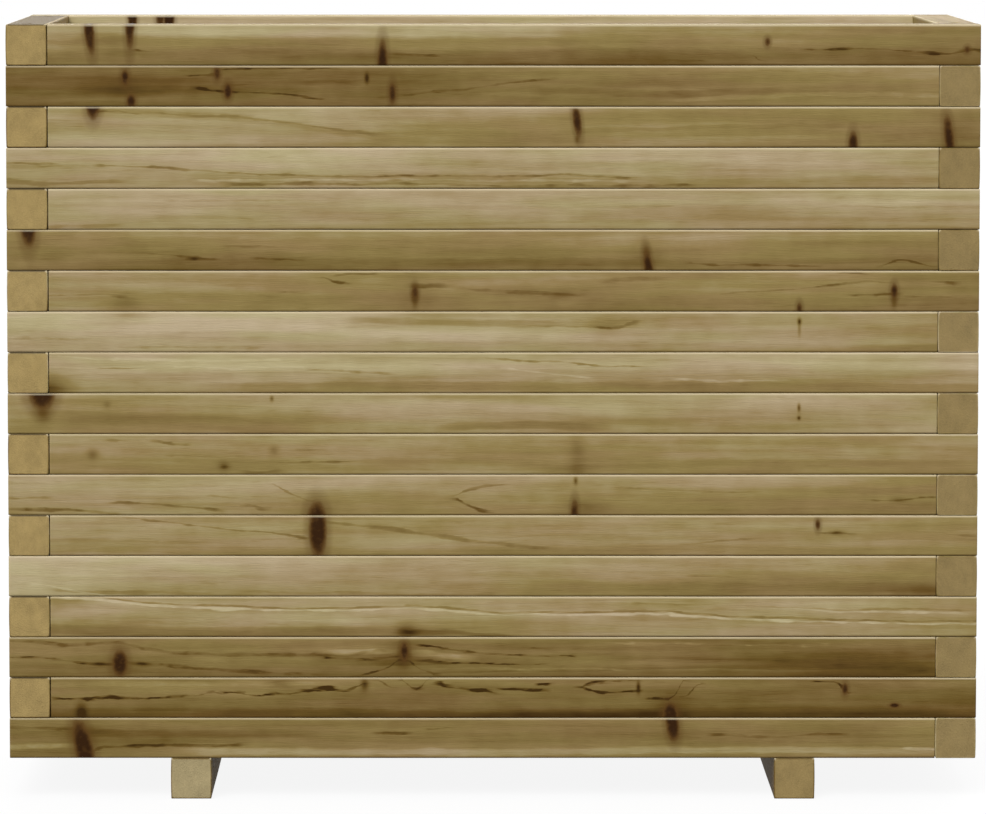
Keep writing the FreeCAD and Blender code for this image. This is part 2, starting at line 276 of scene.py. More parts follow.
class Graph:
    """The nodes of a material or a world."""

    def __init__(self, owner):
        owner.use_nodes = True
        self.tree = owner.node_tree
        self.tree.nodes.clear()

    def node(self, kind, settings=None, inputs=None):
        """Add a node of a type, set its settings, then its sockets from values or wires."""
        node = self.tree.nodes.new(kind)
        for key, value in (settings or {}).items():
            if key == "stops":
                self.set_stops(node.color_ramp, value)
            else:
                setattr(node, key, value)
        for key, value in (inputs or {}).items():
            socket = next(s for s in node.inputs if key in (s.identifier, s.name))
            if isinstance(value, Wire):
                self.tree.links.new(value.socket, socket)
            else:
                socket.default_value = value
        return node

    @staticmethod
    def set_stops(ramp, stops):
        """Give a colour ramp its stops: pairs of a place and a colour."""
        while len(ramp.elements) < len(stops):
            ramp.elements.new(1)
        for element, (place, tint) in zip(ramp.elements, stops):
            element.position = place
            element.color = (*tint, 1)

    def math(self, operation, *values):
        """A Math node on wires and numbers."""
        node = self.node("ShaderNodeMath", {"operation": operation})
        for socket, value in zip(node.inputs, values):
            if isinstance(value, Wire):
                self.tree.links.new(value.socket, socket)
            else:
                socket.default_value = value
        return Wire(self, node.outputs[0])

    def attribute(self, name):
        """A vector that the mesh carries."""
        node = self.node("ShaderNodeAttribute", {"attribute_name": name})
        return Wire(self, node.outputs["Vector"])

    def split(self, vector):
        """The three numbers of a vector."""
        node = self.node("ShaderNodeSeparateXYZ", None, {"Vector": vector})
        return [Wire(self, socket) for socket in node.outputs]

    def join(self, x, y, z):
        """A vector of three numbers."""
        node = self.node("ShaderNodeCombineXYZ", None, {"X": x, "Y": y, "Z": z})
        return Wire(self, node.outputs[0])

    def scaled(self, vector, factors):
        """A vector times a fixed vector."""
        node = self.node("ShaderNodeVectorMath", {"operation": "MULTIPLY"})
        self.tree.links.new(vector.socket, node.inputs[0])
        node.inputs[1].default_value = factors
        return Wire(self, node.outputs[0])

    def span(self, vector):
        """The length of a vector."""
        node = self.node("ShaderNodeVectorMath", {"operation": "LENGTH"})
        self.tree.links.new(vector.socket, node.inputs[0])
        return Wire(self, node.outputs["Value"])

    def noise(self, vector, detail=2.0, roughness=0.5):
        """Smooth noise about 0, from about -1 to 1."""
        node = self.node(
            "ShaderNodeTexNoise",
            {"noise_dimensions": "3D", "normalize": False},
            {"Vector": vector, "Scale": 1.0, "Detail": detail, "Roughness": roughness},
        )
        return Wire(self, node.outputs[0])

    def square(self, vector):
        """The sum of the squares of a vector's first two numbers."""
        flat = self.scaled(vector, (1.0, 1.0, 0.0))
        node = self.node("ShaderNodeVectorMath", {"operation": "DOT_PRODUCT"})
        self.tree.links.new(flat.socket, node.inputs[0])
        self.tree.links.new(flat.socket, node.inputs[1])
        return Wire(self, node.outputs["Value"])

    def fading(self, vector):
        """A bell over the first two numbers of a vector: e to the power of minus their square."""
        return self.math("EXPONENT", 0 - self.square(vector))

    def mix(self, factor, first, second):
        """A blend of two colours."""
        node = self.node("ShaderNodeMix", {"data_type": "RGBA"}, {"Factor_Float": factor})
        for key, value in (("A_Color", first), ("B_Color", second)):
            socket = next(s for s in node.inputs if s.identifier == key)
            if isinstance(value, Wire):
                self.tree.links.new(value.socket, socket)
            else:
                socket.default_value = (*value, 1)
        return Wire(self, next(s for s in node.outputs if s.identifier == "Result_Color"))

    def times(self, first, second):
        """A colour times another."""
        node = self.node(
            "ShaderNodeMix",
            {"data_type": "RGBA", "blend_type": "MULTIPLY"},
            {"Factor_Float": 1.0, "A_Color": first, "B_Color": second},
        )
        return Wire(self, next(s for s in node.outputs if s.identifier == "Result_Color"))

    def ramp(self, value, stops):
        """A colour read from a ramp."""
        node = self.node("ShaderNodeValToRGB", {"stops": stops}, {"Fac": value})
        return Wire(self, node.outputs["Color"])

    def blend(self, factor, first, second):
        """A blend of two shaders."""
        node = self.node("ShaderNodeMixShader", None, {"Fac": factor})
        self.tree.links.new(first.outputs[0], node.inputs[1])
        self.tree.links.new(second.outputs[0], node.inputs[2])
        return node

    def seen(self):
        """1 for what the camera sees, directly, in polished metal or through glass."""
        path = self.node("ShaderNodeLightPath")
        rays = [Wire(self, path.outputs[f"Is {kind} Ray"]) for kind in ("Camera", "Glossy", "Transmission")]
        return rays[0].most(rays[1]).most(rays[2])

    def output(self, kind, shader):
        """Connect the finished shader."""
        node = self.node(kind)
        self.tree.links.new(shader.outputs[0], node.inputs["Surface"])

    def surface(self, base, roughness, height, reach, gloss, metallic=0.0):
        """A plain surface: colour, roughness and the small relief of it."""
        relief = {"Strength": BUMP_STRENGTH, "Distance": reach, "Height": height}
        bump = self.node("ShaderNodeBump", None, relief)
        inputs = {
            "Base Color": base,
            "Roughness": roughness,
            "Metallic": metallic,
            "Specular IOR Level": gloss,
            "Normal": Wire(self, bump.outputs["Normal"]),
        }
        self.output("ShaderNodeOutputMaterial", self.node("ShaderNodeBsdfPrincipled", None, inputs))


BUMP_STRENGTH = 0.45

# The timber's noises: scale along the grain per metre and twice across it per ring, detail, roughness.
NOISES = {
    "wander": ((2.2, 0.16, 0.16), 1.0, 0.5),
    "ripple": ((16.0, 0.5, 0.5), 2.0, 0.5),
    "gnarl": ((170.0, 1.0, 1.0), 2.0, 0.5),
    "cloud": ((3.4, 0.24, 0.24), 2.0, 0.5),
    "streak": ((6.0, 0.9, 0.9), 1.5, 0.5),
    "fibre": ((60.0, 5.0, 5.0), 2.0, 0.65),
    "dash": ((70.0, 1.0, 1.0), 1.0, 0.5),
    "swell": ((42.0, 0.5, 0.5), 2.0, 0.5),
    "tick": ((34.0, 2.2, 2.2), 1.0, 0.5),
    "mottle": ((40.0, 0.35, 0.35), 2.0, 0.5),
    "blush": ((8.0, 0.35, 0.35), 1.0, 0.5),
    "speck": ((600.0, 3.2, 3.2), 3.0, 0.7),
    "band": ((0.0, 0.5, 0.34), 2.0, 0.5),
}

# The noise that lets a ring line fade: scale along the grain per metre, and twice per whole ring.
FADE_SCALE = (7.0, 3.7, 1.9)

# How much a noise or a line changes something: the rings, the drawn lines, the tone, the sawn ends, the
# roughness and the relief.
RING_SHARES = {"wander": 1.1, "ripple": 0.2, "gnarl": 1.4}
LINE_SHARES = {"ripple": 1.5, "fibre": 0.5, "dash": 1.8, "ink": 0.75, "taper": 1.1}
TONE_SHARES = {
    "cloud": 0.18, "streak": 0.09, "mottle": 0.07, "fibre": 0.018,
    "pale_tick": 0.04, "dark_tick": 0.07, "dark_ring": 0.1, "pale_ring": 0.08,
}
SAWN_SHARES = {"speck": 0.18, "band": 0.22, "ring": 0.08, "cloud": 0.2, "all": 0.94}
ROUGH_SHARES = {"fibre": 0.06, "knot": 0.12, "end": 0.12}
RELIEF_SHARES = {"fibre": 0.5, "ring": 0.8, "saw": 0.7}
KNOT_SHARES = {"wide_halo": 0.42, "close_halo": 0.3, "gnarl": 0.3}
# Shares of the painted highlight on the upper long edges and of the painted shade in the lower ones.
EDGE_SHARES = {"painted_edge_light": 0.58, "shaded": 0.4}

# Smooth steps, from and to: in the phase of a ring, in a noise, in a line's wiggle and in the depth of a
# knot, which is how far its age falls below the stem's.
LATE_STEPS = ((0.45, 0.9), (0.93, 1.0))
EARLY_STEPS = ((0.0, 0.08), (0.08, 0.35))
DARK_RING_STEP = (-0.2, 0.5)
PALE_RING_STEP = (-0.05, 0.5)
DASH_STEP = (-0.15, 0.35)
EVEN_STEP = (-0.6, 0.6)
LINE_STEP = (0.0, 1.0)
INK_STEP = (0.2, 0.6)
PALE_TICK_STEP = (0.42, 0.8)
DARK_TICK_STEP = (0.4, 0.8)
CALM_STEP = (-14.0, -2.0)
HALO_STEPS = ((-34.0, -1.0), (-8.0, 0.0))
HEART_STEP = (-1.5, 7.0)
HEART_GNARL_STEP = (0.0, 0.8)
KNOT_STEP = (-4.5, 3.5)
POLISH_STEP = (-0.5, 1.0)

KNOT_BLEND = 4.0
PITH_CLEAR = 0.2
INK_LEAST = 0.45
TAPER_MOST = 0.7
TONE_GAIN = 0.75
TONE_BASE = 0.25
TONE_STOPS = (0.0, 0.25, 0.62, 1.0)
SAWN_MIDDLE = 0.5
SAWN_DARK = 0.72
SAWN_PALE = 1.22
TIMBER_RELIEF = 0.0003
TIMBER_GLOSS = 0.05


def timber_material(name, colours, sawn_colour, roughness, saw_marks):
    """Treated softwood.

    Growth rings are whole numbers of the age field.  The age of the stem is the distance from the
    pith in ring widths, and that of a knot grows with the square of the distance from its branch's
    axis.  The smaller of the two, softly blended, is the age of the wood, so the rings flow round
    the knots.  Streaks and soft spots are added to the tone, and the tone picks the colour.
    """
    graph = Graph(bpy.data.materials.new(name))
    grain = graph.attribute("grain")
    along, across, up = graph.split(grain)
    light, contrast, flecks = graph.split(graph.attribute("tone"))
    end, edge, top = graph.split(graph.attribute("trim"))

    def noise(kind, vector):
        scale, detail, coarse = NOISES[kind]
        return graph.noise(graph.scaled(vector, scale), detail, coarse)

    wander = noise("wander", grain)
    ripple = noise("ripple", grain)
    pith = graph.span(graph.join(0.0, across, up))
    stem = pith + wander * RING_SHARES["wander"] + ripple * RING_SHARES["ripple"]

    knots = None
    for i in range(1, KNOT_SLOTS + 1):
        spot = graph.attribute(f"knot_{i}")
        branch = graph.square(spot) + graph.split(spot)[2]
        knots = branch if knots is None else knots.least(branch)
    gnarl = noise("gnarl", grain)
    depth = stem - knots - gnarl * RING_SHARES["gnarl"]
    age = stem.soft_least(knots, KNOT_BLEND)
    squeeze = age / stem.most(PITH_CLEAR)
    flow = graph.join(along, across * squeeze, up * squeeze)

    cloud = noise("cloud", flow)
    streak = noise("streak", flow)
    fibre = noise("fibre", flow)
    phase = age.fraction()
    late = phase.rise(*LATE_STEPS[0]) * (1 - phase.rise(*LATE_STEPS[1]))
    early = phase.rise(*EARLY_STEPS[0]) * (1 - phase.rise(*EARLY_STEPS[1]))
    ring = age.whole()
    fade = graph.noise(graph.join(along * FADE_SCALE[0], ring * FADE_SCALE[1], ring * FADE_SCALE[2]))
    calm = (1 - depth.rise(*CALM_STEP)) * contrast
    line_dark = late * fade.rise(*DARK_RING_STEP) * calm
    line_pale = early * (0 - fade).rise(*PALE_RING_STEP) * calm
    dash = noise("dash", flow).rise(*DASH_STEP)
    broken = 1 - flecks + flecks * dash * LINE_SHARES["dash"]

    swell = noise("swell", grain).rise(*EVEN_STEP)
    inked = broken * (swell * LINE_SHARES["ink"] + INK_LEAST) - 1
    taper = TAPER_MOST - swell * LINE_SHARES["taper"]
    drawn = None
    for i in range(1, LANE_SLOTS + 1):
        away, shade, wiggle = graph.split(graph.attribute(f"lane_{i}"))
        shake = ripple * LINE_SHARES["ripple"] + fibre * LINE_SHARES["fibre"]
        away = (away + shake * wiggle) * (taper * wiggle + 1)
        mark = (1 - (away * away).rise(*LINE_STEP)) * shade
        mark = mark * (inked * wiggle.rise(*INK_STEP) + 1)
        drawn = mark if drawn is None else drawn + mark
    for i in range(1, SPOT_SLOTS + 1):
        spot = graph.attribute(f"spot_{i}")
        drawn = drawn + graph.fading(spot) * graph.split(spot)[2]

    tick = noise("tick", flow)
    ticks = (0 - tick).rise(*PALE_TICK_STEP) * TONE_SHARES["pale_tick"]
    ticks = ticks - tick.rise(*DARK_TICK_STEP) * TONE_SHARES["dark_tick"]
    mottle = noise("mottle", flow)
    tone = light + cloud * TONE_SHARES["cloud"] + streak * TONE_SHARES["streak"]
    tone = tone + mottle * TONE_SHARES["mottle"] + fibre * TONE_SHARES["fibre"] + ticks + drawn
    tone = tone - line_dark * TONE_SHARES["dark_ring"] + line_pale * TONE_SHARES["pale_ring"]
    tints = (colours.resin_and_seam_shade, colours.dark, colours.middle, colours.light)
    stops = [(stop, tuple(tint)) for stop, tint in zip(TONE_STOPS, tints)]
    base = graph.ramp(tone * TONE_GAIN + TONE_BASE, stops)
    blush = noise("blush", flow).rise(*EVEN_STEP)
    base = graph.times(base, graph.mix(blush, GREENISH, ROSY))

    wide_halo = depth.rise(*HALO_STEPS[0]) * KNOT_SHARES["wide_halo"]
    halo = wide_halo + depth.rise(*HALO_STEPS[1]) * KNOT_SHARES["close_halo"]
    base = graph.mix(halo, base, tuple(colours.knot_rim))
    heart = depth.rise(*HEART_STEP) * (1 - gnarl.rise(*HEART_GNARL_STEP) * KNOT_SHARES["gnarl"])
    core = graph.mix(heart, tuple(colours.knot_rim), tuple(colours.knot_core))
    base = graph.mix(depth.rise(*KNOT_STEP), base, core)

    speck = noise("speck", grain)
    band = noise("band", grain)
    cut = speck * SAWN_SHARES["speck"] + band * SAWN_SHARES["band"]
    cut = cut - line_dark * SAWN_SHARES["ring"] + cloud * SAWN_SHARES["cloud"] + SAWN_MIDDLE
    dark_cut = tuple(value * SAWN_DARK for value in sawn_colour)
    pale_cut = tuple(min(1.0, value * SAWN_PALE) for value in sawn_colour)
    sawn = graph.ramp(cut, [(0.0, dark_cut), (SAWN_MIDDLE, tuple(sawn_colour)), (1.0, pale_cut)])
    base = graph.mix(end * SAWN_SHARES["all"], base, sawn)
    # The weather-grey colour on the upper faces and ends, partly painted shade.
    base = graph.mix(top, base, tuple(colours.weathered))
    # Painted highlight on the upper long edges, partly wear, then painted shade in the lower ones.
    base = graph.mix(edge.most(0.0) * EDGE_SHARES["painted_edge_light"], base, tuple(colours.wear_and_highlight))
    base = graph.mix((0 - edge).most(0.0) * EDGE_SHARES["shaded"], base, tuple(colours.resin_and_seam_shade))

    rough = roughness + fibre * ROUGH_SHARES["fibre"]
    rough = rough - depth.rise(*POLISH_STEP) * ROUGH_SHARES["knot"] + end * ROUGH_SHARES["end"]
    height = fibre * RELIEF_SHARES["fibre"] + line_dark * RELIEF_SHARES["ring"]
    height = height + speck * (end + saw_marks) * RELIEF_SHARES["saw"]
    graph.surface(base, rough, height, TIMBER_RELIEF, TIMBER_GLOSS)


BLOTCH_SCALE = (160.0, 160.0, 160.0)
BLOTCH_DETAIL = 3.0
BLOTCH_STEP = (-0.3, 0.5)
MARKS_SCALE = (900.0, 900.0, 2600.0)
DULLED = 0.55
STEEL_ROUGH = 0.38
STEEL_SHARES = {"blotch": 0.12, "marks": 0.05}
STEEL_RELIEF = 0.00005
STEEL_GLOSS = 0.5


def steel_material(name, colours):
    """Zinc-plated steel with faint turning marks and a dulled, blotchy plating."""
    graph = Graph(bpy.data.materials.new(name))
    node = graph.node("ShaderNodeTexCoord")
    spot = Wire(graph, node.outputs["Object"])
    blotch = graph.noise(graph.scaled(spot, BLOTCH_SCALE), BLOTCH_DETAIL)
    marks = graph.noise(graph.scaled(spot, MARKS_SCALE))
    dull = tuple(value * DULLED for value in colours.steel)
    base = graph.mix(blotch.rise(*BLOTCH_STEP), dull, tuple(colours.steel))
    rough = STEEL_ROUGH + blotch * STEEL_SHARES["blotch"] + marks * STEEL_SHARES["marks"]
    graph.surface(base, rough, marks, STEEL_RELIEF, STEEL_GLOSS, 1.0)


class Knot:
    """A branch in a timber, in mm: where it shows along the timber, its thin end and its wide end
    across the face (height above the timber's middle), its width there, its lean, and how far
    behind the outer face it lies."""

    def __init__(self, x, thin, wide, width, lean=0.0, axis=1.0):
        self.x = x
        self.thin = thin
        self.wide = wide
        self.width = width
        self.lean = lean
        self.axis = axis

    def field(self, wood, along, depth, height):
        """The branch's age field as (across, across, start): the age is the sum of the squares of
        the first two, which are distances from the axis, and the last, which falls outwards."""
        reach = abs(self.wide - self.thin)
        sign = math.copysign(1.0, self.wide - self.thin)
        begin = wood.age(self.axis, self.thin)
        gain = wood.age(self.axis, self.wide) - begin + reach / wood.ring
        scale = self.width / 2 / math.sqrt(max(gain, KNOT_LEAST))
        outward = sign * (height - self.thin)
        across = along - self.x - self.lean * (height - self.wide) / max(reach, 1.0)
        return np.stack([across / scale, (depth - self.axis) / scale, begin - outward / wood.ring], 1)


class FaceKnot:
    """A branch that points out of the outer face, in mm: its middle on the face, its width and its
    height there, and how far its upper end leans to the right."""

    def __init__(self, x, height, width, tall, lean=0.0):
        self.x = x
        self.height = height
        self.width = width
        self.tall = tall
        self.lean = lean

    def field(self, wood, along, depth, height):
        """As for a knot along the face, with the axis at right angles to it."""
        peak = min(KNOT_PEAK, KNOT_GAIN * self.width)
        begin = wood.age(0.0, self.height) - peak
        scale = self.width / 2 / math.sqrt(peak)
        rise = (height - self.height) / self.tall
        across = along - self.x - self.lean * rise
        return np.stack([across / scale, rise * self.width / scale, begin + depth / wood.ring], 1)


class RadialKnot:
    """A branch from the pith of a timber in a direction of its section, in mm and radians: where it
    starts along the timber, its direction, its half width, and its lean."""

    def __init__(self, x, angle, girth, lean):
        self.x = x
        self.angle = angle
        self.girth = girth
        self.lean = lean

    def field(self, wood, along, depth, height):
        """As for a knot along the face, with the axis through the pith.  The branch widens with its
        way from the pith until its age is a peak below the stem's, and is a tall oval from there."""
        side = np.array([math.cos(self.angle), math.sin(self.angle)])
        away = np.stack([depth - wood.pith[0], height - wood.pith[1]], 1)
        outward = away @ side
        beside = away @ np.array([-side[1], side[0]])
        across = along - self.x - self.lean * outward
        peak = min(KNOT_PEAK, KNOT_GAIN * 2 * self.girth)
        scale = self.girth / math.sqrt(peak)
        stretch = math.hypot(1.0, self.lean)
        stem = outward / wood.ring
        begin = np.maximum(KNOT_BUD - stem, stem - peak)
        return np.stack([across / scale / stretch, beside / scale / KNOT_OVAL, begin], 1)


class Streak:
    """A line of darker (shade below 0) or paler wood on the outer face, in mm: its points from left
    to right as (along, height above the middle), its half width, and its shade."""

    def __init__(self, width, shade, *points):
        self.width = width
        self.shade = shade
        self.points = np.array(points, float)
        self.pad = max(LANE_PAD, LANE_PAD * width)
        self.low = self.points[0, 0] - self.pad
        self.high = self.points[-1, 0] + self.pad

    def outside(self, along):
        """How far a place lies beyond the line's two ends; below 0 between them."""
        return np.maximum(self.low - along, along - self.high)

    def clear_of(self, other):
        """Whether another line begins after this one's end or ends before its start."""
        return self.low > other.high + LANE_GAP or other.low > self.high + LANE_GAP

    def field(self, along, depth, height):
        """The distance from the line in half widths, the shade, which fades towards the line's ends
        and behind the face, and how much the line wiggles."""
        near = np.clip(1 - depth / FACE_FADE, 0, 1)
        away = (height - np.interp(along, *self.points.T)) / self.width
        fade = np.clip(-self.outside(along) / self.pad, 0, 1)
        wiggle = np.full_like(along, min(1.0, LANE_WIGGLE / self.width))
        return np.stack([away, self.shade * fade * near, wiggle], 1)


class Spot:
    """A soft oval on the outer face, in mm: its middle, its two half widths and its shade."""

    def __init__(self, x, height, wide, tall, shade):
        self.x = x
        self.height = height
        self.wide = wide
        self.tall = tall
        self.shade = shade

    def field(self, along, depth, height):
        """Places in half widths, and the shade, which fades behind the face."""
        near = np.clip(1 - depth / FACE_FADE, 0, 1)
        beside = (along - self.x) / self.wide
        above = (height - self.height) / self.tall
        return np.stack([beside, above, self.shade * near], 1)


class Wood:
    """How one timber was cut from its tree.

    light: how pale it is at its two ends, 0 to 1; pith: the middle of the tree as (depth behind the
    outer face, height above the timber's middle) in mm; ring: width of a growth ring in mm;
    contrast: strength of the ring lines; flecks: how far the streaks break up into dashes.
    """

    def __init__(self, light, pith, ring, contrast=0.8, flecks=0.0, knots=(), streaks=(), spots=()):
        self.light = light
        self.pith = pith
        self.ring = ring
        self.contrast = contrast
        self.flecks = flecks
        self.knots = knots
        self.streaks = streaks
        self.spots = spots

    def age(self, depth, height):
        """The stem's age at a spot of the section: its distance from the pith in ring widths."""
        return math.hypot(depth - self.pith[0], height - self.pith[1]) / self.ring

    def lanes(self, along, depth, height):
        """The streaks, put into lanes of streaks that are clear of each other: the field of a lane is
        at each place that of its nearest streak."""
        lanes = [[] for _ in range(LANE_SLOTS)]
        for streak in self.streaks:
            free = [all(streak.clear_of(other) for other in lane) for lane in lanes]
            if True not in free:
                raise RuntimeError(f"no lane is free for the streak from {streak.low} to {streak.high}")
            lanes[free.index(True)].append(streak)
        for lane in lanes:
            if not lane:
                yield np.zeros((len(along), 3))
                continue
            nearest = np.argmin([streak.outside(along) for streak in lane], 0)
            fields = np.stack([streak.field(along, depth, height) for streak in lane])
            yield fields[nearest, np.arange(len(along))]

    def fields(self, along, depth, height, reach, seed):
        """The vectors that the material reads at each vertex, from places in mm."""
        draw = np.random.default_rng(seed)
        lean = draw.uniform(-GRAIN_LEAN, GRAIN_LEAN, 2)
        grain = np.stack(
            [
                along * MM + draw.uniform(-GRAIN_START, GRAIN_START),
                (depth - self.pith[0] + along * lean[0]) / self.ring,
                (height - self.pith[1] + along * lean[1]) / self.ring,
            ],
            1,
        )
        share = np.clip((along / reach + 1) / 2, 0, 1)
        light = self.light[0] + (self.light[1] - self.light[0]) * share
        # Painted shading: paler towards the upper edge of the face, as light falls from above.
        light = light + FACE_FALL * height / (SLAT_MM / 2)
        same = np.ones_like(light)
        tone = np.stack([light, same * self.contrast, same * self.flecks], 1)
        fields = {"grain": grain, "tone": tone}
        for i in range(KNOT_SLOTS):
            if i < len(self.knots):
                field = self.knots[i].field(self, along, depth, height)
            else:
                field = np.full((len(along), 3), NO_KNOT)
            fields[f"knot_{i + 1}"] = field
        for i, field in enumerate(self.lanes(along, depth, height)):
            fields[f"lane_{i + 1}"] = field
        for i, spot in enumerate(self.spots):
            fields[f"spot_{i + 1}"] = spot.field(along, depth, height)
        return fields


# What a timber is drawn from by chance, mostly from and to: where the pith is, how pale the wood is,
# its knots, its soft bands and thin lines, in mm or shares of its half length, and its rings.
PITH_DEPTHS = (-12, 55)
PITH_HEIGHTS = (-26, 26)
PALE_SPREAD = 0.15
PALE_DRIFTS = (-0.12, 0.12)
PALE_LIMITS = (0.08, 0.92)
KNOT_COUNTS = (0, 4)
KNOT_GIRTHS = (2.5, 6.5)
KNOT_LEANS = (-1.3, 1.3)
STREAK_COUNT = 5
STREAK_LAST_START = 0.6
STREAK_RUNS = (0.15, 0.9)
STREAK_LEVELS = (-18, 18)
STREAK_DRIFTS = (-7, 7)
STREAK_SAGS = (-3, 3)
BAND_COUNT = 2
BAND_WIDTHS = (4.0, 9.0)
BAND_SHADES = (-0.16, -0.1, 0.1)
LINE_WIDTHS = (0.8, 1.6)
LINE_SHADES = (-0.35, -0.15)
RING_WIDTHS = (3.4, 6.5)
RING_CONTRASTS = (0.5, 1.0)
FLECK_CHANCE = 0.25
FLECK_STRENGTH = 0.7
MEAN_PALE = 0.5


def chance_wood(seed, pale=MEAN_PALE, reach=HALF_WIDTH_MM):
    """A timber like the rest, drawn by chance; reach is half its length in mm."""
    draw = np.random.default_rng(seed)
    pith = (draw.uniform(*PITH_DEPTHS), draw.uniform(*PITH_HEIGHTS))
    light = np.clip(draw.normal(pale, PALE_SPREAD) + draw.uniform(*PALE_DRIFTS, 2), *PALE_LIMITS)
    knots = []
    for _ in range(draw.integers(*KNOT_COUNTS)):
        target = (draw.uniform(0, SLAT_MM), draw.uniform(-SLAT_MM, SLAT_MM) / 2)
        angle = math.atan2(target[1] - pith[1], target[0] - pith[0])
        start = draw.uniform(-reach, reach)
        knots.append(RadialKnot(start, angle, draw.uniform(*KNOT_GIRTHS), draw.uniform(*KNOT_LEANS)))
    streaks = []
    for i in range(STREAK_COUNT):
        begin = draw.uniform(-reach, reach * STREAK_LAST_START)
        run = draw.uniform(*STREAK_RUNS) * reach
        level = draw.uniform(*STREAK_LEVELS)
        drift = draw.uniform(*STREAK_DRIFTS)
        sag = draw.uniform(*STREAK_SAGS)
        broad = i < BAND_COUNT
        wide = draw.uniform(*BAND_WIDTHS) if broad else draw.uniform(*LINE_WIDTHS)
        shade = draw.choice(BAND_SHADES) if broad else draw.uniform(*LINE_SHADES)
        middle = (begin + run / 2, level + drift / 2 + sag)
        streaks.append(Streak(wide, shade, (begin, level), middle, (begin + run, level + drift)))
    return Wood(
        light=tuple(light),
        pith=pith,
        ring=draw.uniform(*RING_WIDTHS),
        contrast=draw.uniform(*RING_CONTRASTS),
        flecks=float(draw.random() < FLECK_CHANCE) * FLECK_STRENGTH,
        knots=knots,
        streaks=streaks,
    )


